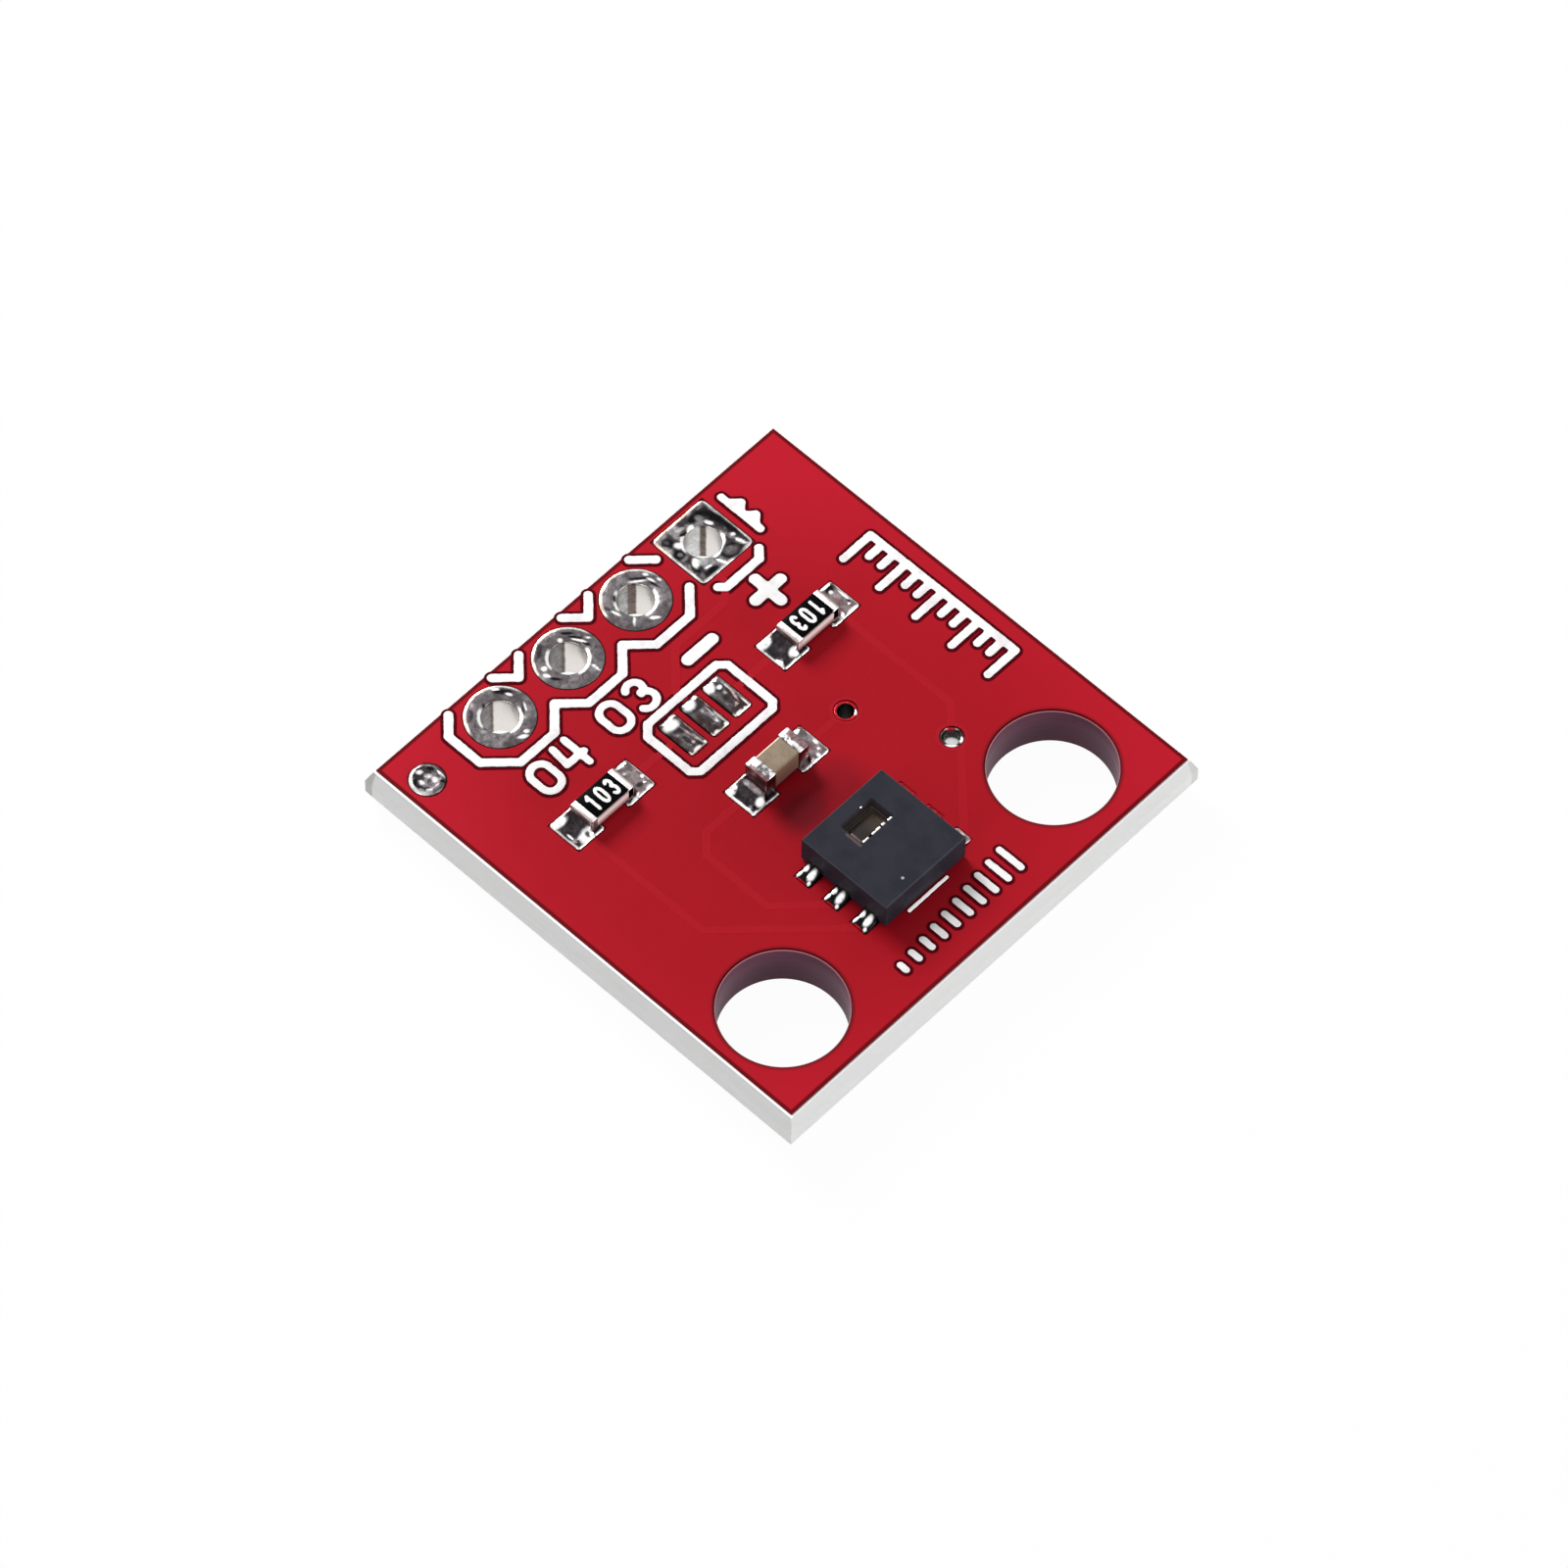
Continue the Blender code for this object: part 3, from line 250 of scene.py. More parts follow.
def smoothed_ridges(finish):
    """The mask flows over the tracks, so light hardly breaks on the sides of their ridges."""
    own = finish.add("NewGeometry", output="Normal")
    ridge = abs(finish.z - BOARD_MIDDLE).step(MASK_HALF - 0.0006, MASK_HALF + 0.0006)
    level = finish.add("CombineXYZ", sockets={"Z": finish.z.step(0.7, 0.8) * 2.0 - 1.0})
    mixed_normal = finish.add("Mix", {"data_type": "VECTOR"}, {0: ridge * 0.8, 4: own, 5: level}, 1)
    return finish.add("VectorMath", {"operation": "NORMALIZE"}, {0: mixed_normal}, "Vector")


def laminate_finish():
    """Pale glass-epoxy, its cloth showing at the snapped edge, dark where a drill has met it; painted shade
    darkens its +Y and +X sides and the mask's gaps round the pads, painted light brightens those gaps by the
    sensor, and a painted highlight runs along its top edge, glowing on the -X side.
    """
    finish = Finish("glass epoxy laminate", Specular_IOR_Level=0.15, Emission_Strength=0.35)
    layers = finish.noise(1.0, stretch=(0.5, 0.5, 5.0))
    fibres = finish.noise(1.0, 3.0, 0.7, stretch=(14.0, 14.0, 30.0))
    pale = layers.step(0.35, 0.65).blend((0.742, 0.742, 0.738), (0.758, 0.758, 0.755))
    pale = (fibres.step(0.6, 0.8) * 0.1).blend(pale, (0.6, 0.59, 0.57))
    # Painted shade: the +Y and +X sides, which face the lamps, are made darker
    pale = finish.y.step(7.4, 7.46).blend(pale, (0.5, 0.5, 0.48))
    pale = finish.x.step(7.4, 7.46).blend(pale, (0.62, 0.62, 0.6))
    # Painted highlight: a white band along the top of the edge
    painted_edge_highlight = finish.z.step(1.395, 1.415)
    pale = painted_edge_highlight.blend(pale, (0.93, 0.93, 0.93))
    from_middle = abs(finish.z - BOARD_MIDDLE)
    # Painted shade in the mask's gaps round the pads; by the sensor those gaps are painted light instead,
    # against the shade of their narrow groove
    gap = finish.reach(SENSOR).step(2.25, 2.15).blend((0.095, 0.0008, 0.0035), (0.62, 0.011, 0.024))
    hidden = from_middle.step(0.69, 0.699).blend((0.16, 0.03, 0.045), gap)
    colour = finish.reach().step(7.46, 7.42).blend(pale, hidden)
    # On the -X side the painted highlight also glows, though it is no lamp
    glow = painted_edge_highlight * finish.x.step(-7.44, -7.46)
    finish.put("Emission Color", glow.blend((0, 0, 0), WHITE))
    web = from_middle.step(0.3, 0.24).between(0.15, 0.8)
    return finish.done(colour, fibres, (0.45, 0.7), fibres * web, 0.008)


def hole_wall_finish():
    """The resin-glazed wall of a mounting hole, with a light ring where the mask starts."""
    finish = Finish("drilled wall", Specular_IOR_Level=0.12)
    rings = finish.noise(1.0, 3.0, 0.6, stretch=(1.2, 1.2, 12.0))
    wall = rings.step(0.2, 0.8).blend((0.13, 0.044, 0.08), (0.175, 0.061, 0.1))
    wall = (finish.z.step(1.418, 1.44) * 0.7).blend(wall, (0.62, 0.26, 0.29))
    return finish.done(wall, rings, (0.35, 0.6), rings, 0.006)


def metal_finish(name, contrast, roughness, depth):
    """Tin or solder: the tones laid on its points, which paint its reflections and glints, broken up by a
    mottle, specks and fine scratches.
    """
    finish = Finish(name, Metallic=1.0)
    laid = {"attribute_name": "tone"}
    tone, brightness = [finish.add("Attribute", laid, output=kind) for kind in ("Color", "Fac")]
    patches = finish.noise(5.0, 3.0, 0.6, 0.6)
    grain = finish.noise(24.0, 2.0, 0.6)
    scratches = finish.noise(1.0, stretch=(34.0, 3.0, 8.0)) | finish.noise(1.0, stretch=(3.5, 30.0, 8.0))
    level = patches.step(0.36, 0.64).between(1.0 - contrast, 1.0 + contrast)
    level = level * grain.step(0.35, 0.7).between(0.82, 1.18)
    metal = finish.add("VectorMath", {"operation": "SCALE"}, {0: tone, "Scale": level})
    metal = brightness.step(0.5, 0.85).blend(metal, tone)
    scratches = scratches.step(0.7, 0.78) * brightness.step(0.02, 0.16)
    metal = (scratches * 0.22).blend(metal, (0.8, 0.79, 0.77))
    relief = patches * 0.6 + grain * 0.4
    return finish.done(metal, patches, (roughness - 0.1, roughness + 0.12), relief, depth)


def plating_finish(name, tones, roughness, centres=(), strip=0.0, lean=0.0, lit_from=9.0, mottle_scale=7.0):
    """Satin plating over fired paste: mottled, with painted shade past its bright strip and on its upright
    faces, where side and foot colours paint shade and reflection, and a painted highlight on its top past
    lit_from.
    """
    finish = Finish(name, Metallic=1.0)
    pale, shade, side, foot = tones
    mottle = finish.noise(mottle_scale, 3.0, 0.6)
    # Upright faces: painted shade and reflection, in a side colour above and a foot colour below
    upright = finish.z.step(1.62, 2.1).blend(foot, side)
    metal = mottle.step(0.38, 0.62).blend(shade, pale)
    # Painted shade past the bright strip, as on a rounded shoulder
    for centre in centres:
        away = abs(finish.x - centre)
        east = finish.x.step(centre, centre + 0.1)
        past = (away + east * lean).step(strip - 0.02, strip + 0.03) * away.step(1.0, 0.9)
        metal = (past * 0.85).blend(metal, upright)
    # Painted highlight on the top past lit_from
    lit = finish.y.step(lit_from - 0.05, lit_from) * mottle.step(0.3, 0.4)
    metal = finish.upward().blend(upright, lit.blend(metal, pale))
    pores = finish.add("TexVoronoi", sockets={"Vector": finish.place, "Scale": 26.0})
    metal = (pores.step(0.16, 0.05) * 0.5).blend(metal, (0.18, 0.13, 0.12))
    return finish.done(metal, mottle, (roughness - 0.08, roughness + 0.1), mottle, 0.008)


def ceramic_finish(name, tops, side, scale, roughness, levels=None, foot=None, brow=None, lit_from=None):
    """Fired ceramic with a fine mottle and a painted highlight on its top past lit_from; upright faces take a
    painted side shade, another colour towards the foot and a painted shadow under their brow.
    """
    finish = Finish(name, Specular_IOR_Level=0.3)
    grain = finish.noise(scale * 7, 1.0)
    top = finish.noise(scale, 3.0, 0.65).step(0.35, 0.65).blend(*tops)
    # Painted highlight along the top past lit_from
    if lit_from:
        top = finish.y.step(lit_from - 0.02, lit_from).blend(top, (0.98, 0.86, 0.7))
    # Upright faces: the side colour paints their shade, the brow colour a shadow under their top
    upright = side
    if levels:
        upright = finish.z.step(*levels[:2]).blend(foot, upright)
        upright = finish.z.step(*levels[2:]).blend(upright, brow or side)
    colour = finish.upward().blend(upright, top)
    return finish.done(colour, grain, (roughness - 0.07, roughness + 0.07), grain, 0.003)


def moulding_finish():
    """Fine-grained dark moulding, greyer along its edges, with a pale pip painted as a glint at its first
    corner, a painted brown glint by the window's left rim, and painted light in the window's pocket against
    its shade.
    """
    finish = Finish("sensor moulding", Specular_IOR_Level=0.12)
    grain = finish.noise(38.0, 2.0, 0.6)
    cloud = finish.noise(1.5).step(0.35, 0.65)
    colour = cloud.blend((0.0145, 0.015, 0.0245), (0.0215, 0.022, 0.032))
    colour = (grain.step(0.6, 0.78) * 0.3).blend(colour, (0.075, 0.078, 0.092))
    edge = finish.reach(SENSOR).step(1.455, 1.495) * finish.z.step(2.38, 2.43)
    colour = (edge * 0.35).blend(colour, (0.12, 0.125, 0.15))
    window = abs(finish.x - WINDOW[0]) * 0.683 | abs(finish.y - WINDOW[1])
    # Painted light in the window's pocket, against the shade that fills it
    painted_well_light = window.step(0.425, 0.415) * finish.z.step(2.438, 2.43)
    painted_depth = finish.z.step(2.12, 2.2).blend((0.19, 0.15, 0.135), (0.052, 0.044, 0.048))
    colour = painted_well_light.blend(colour, painted_depth)
    # Painted glint: a brown line on the top by the window's left rim
    painted_rim_glint = abs(finish.x + 0.825).step(0.05, 0.025) * abs(finish.y + 3.33).step(0.31, 0.24)
    colour = (painted_rim_glint * finish.z.step(2.43, 2.44) * 0.7).blend(colour, (0.15, 0.09, 0.08))
    # Painted glint: a pale pip at the first corner
    pip = finish.distance((-0.78, -5.03)).step(0.055, 0.028)
    colour = (pip * 0.8).blend(colour, (0.55, 0.56, 0.58))
    return finish.done(colour, grain, (0.46, 0.62), grain, 0.006)


def ink_finish(name, glow=0.0):
    """White printed ink, a little uneven and clouded; a glow makes it shine as painted light, though it is no
    lamp.
    """
    finish = Finish(name, Specular_IOR_Level=0.25, Emission_Color=(1.0, 0.9, 0.9), Emission_Strength=glow)
    grain, cloud = finish.noise(16.0, 3.0, 0.7), finish.noise(1.7, 3.0, 0.6)
    colour = (cloud.step(0.52, 0.66) * 0.6).blend((0.97, 0.97, 0.965), (0.8, 0.73, 0.76))
    colour = grain.step(0.6, 0.8).blend(colour, (0.84, 0.77, 0.77))
    return finish.done(colour, grain, (0.45, 0.6), grain, 0.004)


def ink_rim_finish():
    """The dark rim where ink and mask meet, a painted shade round the print."""
    finish = Finish("painted ink shade on mask", Specular_IOR_Level=0.02)
    grain = finish.noise(12.0)
    rim = grain.step(0.4, 0.6).blend((0.06, 0.0005, 0.0035), (0.115, 0.001, 0.006))
    return finish.done(rim, grain, (0.5, 0.6))


def glaze_finish():
    """Black overglaze with a slight orange peel."""
    finish = Finish("black glaze", Specular_IOR_Level=0.02)
    peel = finish.noise(14.0)
    black = peel.step(0.4, 0.7).blend((0.001, 0.001, 0.001), (0.003, 0.003, 0.004))
    return finish.done(black, peel, (0.28, 0.42), peel, 0.004)


def film_finish():
    """The sensing film: amber over fine metal combs, darker towards its -X end."""
    finish = Finish("sensing film", Specular_IOR_Level=0.3)
    combs, stain = finish.wave("X", 5.0), finish.noise(5.0)
    amber = combs.step(0.35, 0.65).blend((0.06, 0.04, 0.028), (0.15, 0.095, 0.06))
    amber = finish.x.step(-0.35, 0.2).blend((0.026, 0.018, 0.015), amber)
    amber = (stain.step(0.4, 0.7) * 0.5).blend(amber, (0.024, 0.018, 0.016))
    return finish.done(amber, stain, (0.22, 0.36), combs, 0.003)


# Pieces
def in_scene(name, data):
    """A new object that holds a shape, a lamp or a camera."""
    if isinstance(data, bmesh.types.BMesh):
        mesh = bpy.data.meshes.new(name)
        data.to_mesh(mesh)
        data.free()
        data = mesh
    item = bpy.data.objects.new(name, data)
    bpy.context.scene.collection.objects.link(item)
    return item


def finished(name, bm, finish, replaced=(), angle=40):
    """Turn a shape in millimetres into a piece in metres that rides with the board."""
    bmesh.ops.remove_doubles(bm, verts=bm.verts, dist=1e-5)
    bmesh.ops.recalc_face_normals(bm, faces=bm.faces)
    bmesh.ops.scale(bm, vec=(MM, MM, MM), verts=bm.verts)
    piece = in_scene(name, bm)
    piece.data.shade_smooth()
    piece.data.set_sharp_from_angle(angle=math.radians(angle))
    piece.data.materials.append(finish)
    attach(piece, "root")
    if replaced:
        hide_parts(*replaced)


def set_down(bm, place, turn=0.0):
    """Turn a shape about the Z axis and move it to its place on the board."""
    bmesh.ops.rotate(bm, verts=bm.verts, cent=(0, 0, 0), matrix=Matrix.Rotation(turn, 3, "Z"))
    bmesh.ops.translate(bm, vec=(*place, 0), verts=bm.verts)


def turned(bm, profile, steps, closed=True):
    """A profile of (radius, z) points spun about the Z axis."""
    points = [bm.verts.new((radius, 0, z)) for radius, z in profile]
    edges = [bm.edges.new(pair) for pair in zip(points, points[1:])]
    if closed:
        edges.append(bm.edges.new((points[-1], points[0])))
    axis = {"cent": (0, 0, 0), "axis": (0, 0, 1), "angle": math.tau}
    bmesh.ops.spin(bm, geom=points + edges, steps=steps, use_merge=True, use_duplicate=False, **axis)
    bmesh.ops.remove_doubles(bm, verts=bm.verts, dist=1e-5)


def slab(bm, low, high, edge, segments=2):
    """A block with bevelled edges between two corners."""
    size = [b - a for a, b in zip(low, high)]
    middle = [(a + b) / 2 for a, b in zip(low, high)]
    made = bmesh.ops.create_cube(bm, size=1.0)["verts"]
    bmesh.ops.scale(bm, vec=size, verts=made)
    bmesh.ops.translate(bm, vec=middle, verts=made)
    edges = list({item for vert in made for item in vert.link_edges})
    settings = {"offset": edge, "affect": "EDGES", "segments": segments, "profile": 0.5, "material": -1}
    bmesh.ops.bevel(bm, geom=edges, **settings)


def spread(low, high, count):
    return [low + (high - low) * step / count for step in range(count + 1)]


def arc(centre, radius, start, end, steps=12):
    turns = [math.radians(turn) for turn in spread(start, end, steps)]
    return [(centre[0] + radius * math.cos(t), centre[1] + radius * math.sin(t)) for t in turns]


def lumps(point, scale, seed):
    """Smooth unevenness between -1 and 1."""
    return noise.noise(Vector((point[0] * scale + seed, point[1] * scale - seed, seed * 0.37)))


def ease(value, low, high):
    """0 at low and 1 at high, with soft ends."""
    share = min(1.0, max(0.0, (value - low) / (high - low)))
    return share * share * (3 - 2 * share)


def band(value, rise, fall):
    """1 between a soft rise and a soft fall, each from one value to another."""
    return ease(value, *rise) * (1 - ease(value, *fall))


def mixed(first, second, share):
    return tuple(a + (b - a) * share for a, b in zip(first, second))


# Tones on metal
def metal_sheet():
    """An empty shape whose points can take a tone."""
    bm = bmesh.new()
    bm.verts.layers.float_color.new("tone")
    return bm


def coat(bm, tone_at):
    """Give each point the tone that its place asks for."""
    layer = bm.verts.layers.float_color["tone"]
    for vert in bm.verts:
        vert[layer] = (*tone_at(vert.co), 1.0)


def daub(bm, daubs, floor=1.4, soft=0.4):
    """Lay soft strokes of painted reflection and glint (tone, x, y, half length, half width, turn in degrees)
    on what is above a floor.
    """
    layer = bm.verts.layers.float_color["tone"]
    strokes = []
    for tone, x, y, length, width, *turn in daubs:
        strokes.append((TONES[tone], x, y, length, width, math.radians(turn[0] if turn else 0)))
    for vert in bm.verts:
        if vert.co.z < floor:
            continue
        colour = tuple(vert[layer])[:3]
        for tone, x, y, length, width, turn in strokes:
            across, along = vert.co.x - x, vert.co.y - y
            far = across * math.cos(turn) + along * math.sin(turn)
            wide = along * math.cos(turn) - across * math.sin(turn)
            reach = math.hypot(far / length, wide / width)
            colour = mixed(colour, tone, 1 - ease(reach, 1 - soft, 1 + soft))
        vert[layer] = (*colour, 1.0)


def as_seen(centre, strokes):
    """Strokes given across and up from a centre, as board places: across is the line from +Y to +X."""
    half = math.sqrt(0.5)
    placed = []
    for tone, across, up, length, width, *turn in strokes:
        x, y = centre[0] + (across + up) * half, centre[1] + (up - across) * half
        placed.append((tone, x, y, length, width, (turn[0] if turn else 0) - 45))
    return placed


# Plated holes
def eyelet_profile(bore, lip, height, swell, rings):
    """(radius, z) round the wall of a plated hole; each lip swells with tin."""
    flare = min(0.06, (lip - bore) / 3)
    edge = min(0.024, height * 0.45)
    top, inner, outer = LAMINATE_TOP + height, bore + flare, lip - edge
    upper = [(bore, top - depth) for depth in (0.7, 0.58, 0.46, 0.34, 0.22, 0.12, flare)]
    upper += arc((inner, top - flare), flare, 160, 110, 2)
    for share in spread(0.0, 1.0, rings):
        upper.append((inner + (outer - inner) * share, top + swell * math.sin(math.pi * share)))
    upper += arc((outer, top - edge), edge, 60, 0, 2)
    upper += [(lip, COPPER_BASE), (bore + BARREL_WALL, COPPER_BASE)]
    return upper + [(radius, max(0.0, 2 * BOARD_MIDDLE - z)) for radius, z in reversed(upper)]


def roughen(bm, depth, scale, seed):
    """Raise and sink the upper face of a tinned lip."""
    for vert in bm.verts:
        if vert.co.z > PAD_TOP - 0.03:
            vert.co.z += depth * lumps(vert.co, scale, seed)
            vert.co.z += depth * 0.5 * lumps(vert.co, scale * 2.7, seed + 3.1)


def square_off(bm, round_radius, half):
    """Push the outer part of a round lip out to a square with soft corners."""
    for vert in bm.verts:
        radius = math.hypot(vert.co.x, vert.co.y)
        if radius > round_radius:
            cosine, sine = vert.co.x / radius, vert.co.y / radius
            sharp = (abs(cosine) ** 14 + abs(sine) ** 14) ** (-1 / 14)
            reach = 1 + (sharp - 1) * ease(radius, round_radius, half)
            vert.co.x *= reach
            vert.co.y *= reach


# The painted reflection on the wall of each bore: where its bright side starts, how wide the dark band is,
# and the tone past it
HEADER_WALLS = {1: (0.1, 0.14, "pale"), 2: (0.02, 0.2, "silver")}
HEADER_WALLS |= {3: (-0.08, 0.07, "grey"), 4: (-0.18, 0.05, "grey")}
# Strokes of painted reflection and glint on each pad as (tone, across, up, half length, half width, turn), as
# seen from the front left
HEADER_REFLECTIONS = {
    4: [
        ("black", 0.07, 0.76, 0.27, 0.08), ("white", 0.24, 0.68, 0.09, 0.035, -15),
        ("white", -0.12, 0.84, 0.1, 0.03), ("dark", 0.6, 0.22, 0.05, 0.2, 10),
        ("pale", 0.66, 0.3, 0.025, 0.14, 15), ("white", 0.69, -0.47, 0.07, 0.05),
        ("white", 0.6, -0.63, 0.14, 0.05, 15), ("silver", -0.44, -0.47, 0.08, 0.05),
        ("dark", -0.78, 0.05, 0.08, 0.25), ("black", -0.4, 0.3, 0.04, 0.13, 25),
    ],
    3: [
        ("black", -0.03, 0.76, 0.18, 0.05), ("black", 0.2, 0.63, 0.2, 0.04, -10),
        ("black", 0.48, 0.44, 0.12, 0.05, -30), ("white", -0.2, 0.55, 0.06, 0.06),
        ("white", 0.3, 0.54, 0.2, 0.028, -15), ("white", 0.54, 0.62, 0.07, 0.03),
        ("white", 0.73, -0.31, 0.14, 0.03, -42), ("white", -0.62, -0.34, 0.07, 0.06),
        ("white", -0.55, -0.56, 0.1, 0.04, -20), ("black", -0.34, -0.66, 0.16, 0.05, -10),
        ("dark", -0.76, 0.22, 0.08, 0.22),
    ],
    2: [
        ("black", 0.13, 0.66, 0.34, 0.035, 5), ("black", 0.5, 0.46, 0.17, 0.035, -38),
        ("white", 0.05, 0.57, 0.22, 0.028, 8), ("white", 0.26, 0.78, 0.07, 0.035),
        ("white", 0.42, 0.6, 0.12, 0.025, -30), ("white", 0.63, 0.62, 0.06, 0.03, -30),
        ("white", -0.53, -0.43, 0.14, 0.035, -30), ("white", 0.5, -0.58, 0.14, 0.045, 5),
        ("dark", -0.56, 0.03, 0.05, 0.12), ("pale", -0.05, -0.66, 0.03, 0.17),
        ("dark", -0.74, -0.3, 0.1, 0.05, -40),
    ],
    1: [
        ("black", 0.0, 0.9, 0.3, 0.13), ("black", -0.26, 0.72, 0.2, 0.13, 45),
        ("black", 0.36, 0.74, 0.42, 0.14, -38), ("black", 0.74, 0.44, 0.34, 0.1, -42),
        ("grey", -0.1, 0.74, 0.1, 0.08), ("silver", 0.3, 1.0, 0.3, 0.035, -42),
        ("white", 0.16, 0.6, 0.12, 0.05, -20), ("white", -0.32, 0.42, 0.12, 0.07, 60),
        ("silver", -0.62, 0.36, 0.16, 0.05, 30), ("black", 0.76, -0.26, 0.34, 0.28, 20),
        ("dull", 0.76, -0.28, 0.2, 0.14, 20), ("white", 1.02, 0.0, 0.17, 0.045, -30),
        ("white", 0.8, 0.22, 0.06, 0.04), ("white", 0.56, -0.66, 0.22, 0.04, -22),
        ("white", 0.8, -0.6, 0.06, 0.05), ("black", 0.22, -0.92, 0.24, 0.09, 40),
        ("black", -0.2, -0.84, 0.12, 0.2, 20), ("white", -0.2, -0.68, 0.09, 0.15, 10),
        ("silver", 0.02, -0.62, 0.15, 0.12), ("white", 0.14, -0.8, 0.1, 0.03, 30),
        ("black", -0.92, -0.04, 0.18, 0.13, -40), ("dull", -0.96, -0.03, 0.08, 0.05, -40),
        ("black", -0.64, -0.44, 0.18, 0.16), ("grey", -0.6, -0.42, 0.07, 0.06),
        ("white", -0.63, -0.12, 0.13, 0.09), ("black", -0.5, 0.24, 0.14, 0.05, 30),
    ],
}


def wall_tone(x, y, divide, width, left):
    """Inside a plated hole, with its reflection painted: bright along one side, a dark band, and duller tin
    past it.
    """
    side = (x - y) / math.sqrt(2)
    tone = mixed(TONES[left], TONES["brown"], ease(side, divide - width - 0.06, divide - width))
    return mixed(tone, TONES["cream"], ease(side, divide - 0.025, divide + 0.025))


def header_tone(centre, wall, square):
    """How a tinned header pad looks: grey lip, a painted bright rim at its back, painted glints round the
    bore.
    """

    def tone_at(point):
        x, y = point.x - centre, point.y - HEADER_Y
        radius = math.hypot(x, y)
        if radius < HEADER_BORE + 0.005:
            return wall_tone(x, y, *wall)
        inside = HEADER_LIP - (max(abs(x), abs(y)) if square else radius)
        heading = math.degrees(math.atan2(y, x))
        first, second, scale = ("grey", "dark", 5.0) if square else ("ash", "dull", 2.2)
        tone = mixed(TONES[first], TONES[second], ease(lumps((x, y), scale, centre), -0.2, 0.3))
        # Painted glints: white arcs round the bore
        ring = band(radius, (0.5, 0.52), (0.58, 0.62))
        tone = mixed(tone, TONES["white"], ring * band(heading, (-112, -96), (-25, -8)))
        tone = mixed(tone, TONES["white"], ring * band(heading, (100, 118), (165, 178)) * 0.8)
        # Painted highlight: a pale rim at the lip's edge, white and amber at its back
        rim = ease(inside, 0.085, 0.05)
        tone = mixed(tone, TONES["pale"], rim * (1.0 if square else ease(y, 0.05, 0.35)))
        glow = band(heading, (45, 75), (150, 175))
        tone = mixed(tone, TONES["white"], rim * glow)
        return mixed(tone, TONES["amber"], 0.8 * glow * ease(inside, 0.08, 0.055))

    return tone_at


def make_header_pads(tin):
    for pin, x in PIN_X.items():
        bm = metal_sheet()
        turned(bm, eyelet_profile(HEADER_BORE, HEADER_LIP, PAD_TOP - LAMINATE_TOP, 0.012, 16), 128)
        if pin == 1:
            square_off(bm, HEADER_BORE + 0.08, HEADER_LIP)
        roughen(bm, 0.008, 3.4, pin * 1.7)
        set_down(bm, (x, HEADER_Y))
        coat(bm, header_tone(x, HEADER_WALLS[pin], pin == 1))
        daub(bm, as_seen((x, HEADER_Y), HEADER_REFLECTIONS[pin]), floor=1.47)
        finished(f"tinned_header_pad_{pin}", bm, tin, [f"header_pad_{pin}"])


# Place of each via, the tones of its lip, wall and depth, and its strokes; the depth tone paints the shade in
# the ground via's bore and a reflection in the data via's, and the strokes paint glints and reflections
VIAS = {
    "via_ground": ((2.36, -0.04), ("red", "umber", "black"), [("white", 0.27, -0.07, 0.035, 0.09, 15)]),
    "via_data": ((3.7, -2.59), ("umber", "black", "white"), [
        ("black", -0.25, 0.0, 0.06, 0.1), ("red", -0.04, 0.24, 0.1, 0.06),
        ("pink", -0.17, 0.26, 0.06, 0.035), ("pink", 0.14, 0.25, 0.05, 0.035),
        ("white", -0.05, -0.27, 0.16, 0.05), ("white", 0.27, -0.12, 0.06, 0.11, 20),
    ]),
}


def make_vias(tin):
    """One via lies under the mask, the other one has silvery tin on its lip."""
    for name, (place, tones, strokes) in VIAS.items():
        lip, wall, painted_depth = (TONES[tone] for tone in tones)

        def tone_at(point):
            radius = math.hypot(point.x - place[0], point.y - place[1])
            # Low in the bore the depth tone takes over: painted shade in one via, a painted reflection in the
            # other
            inner = mixed(wall, painted_depth, 0.9 * (1 - ease(point.z, 1.02, 1.13)))
            return mixed(inner, lip, ease(radius, VIA_BORE + 0.005, VIA_BORE + 0.03))

        bm = metal_sheet()
        turned(bm, eyelet_profile(VIA_BORE, VIA_LIP, 0.022, 0.004, 4), 48)
        set_down(bm, place)
        coat(bm, tone_at)
        daub(bm, as_seen(place, strokes), floor=1.44)
        finished(f"tinned_{name}", bm, tin, [name])


# Strokes of painted reflection and glint on the corner pad, as seen from the front left
CORNER_REFLECTIONS = [
    ("white", -0.2, 0.2, 0.09, 0.055, 20), ("black", 0.08, 0.31, 0.11, 0.06, -20),
    ("white", 0.36, 0.14, 0.15, 0.022, -45), ("pale", 0.02, 0.1, 0.1, 0.05),
    ("white", -0.14, -0.09, 0.08, 0.055, -30), ("black", -0.31, -0.11, 0.05, 0.13),
    ("black", -0.17, -0.26, 0.13, 0.045, -20), ("dark", 0.15, -0.16, 0.13, 0.06, 10),
    ("black", 0.41, -0.09, 0.08, 0.05, -20), ("silver", 0.06, -0.36, 0.1, 0.05),
]


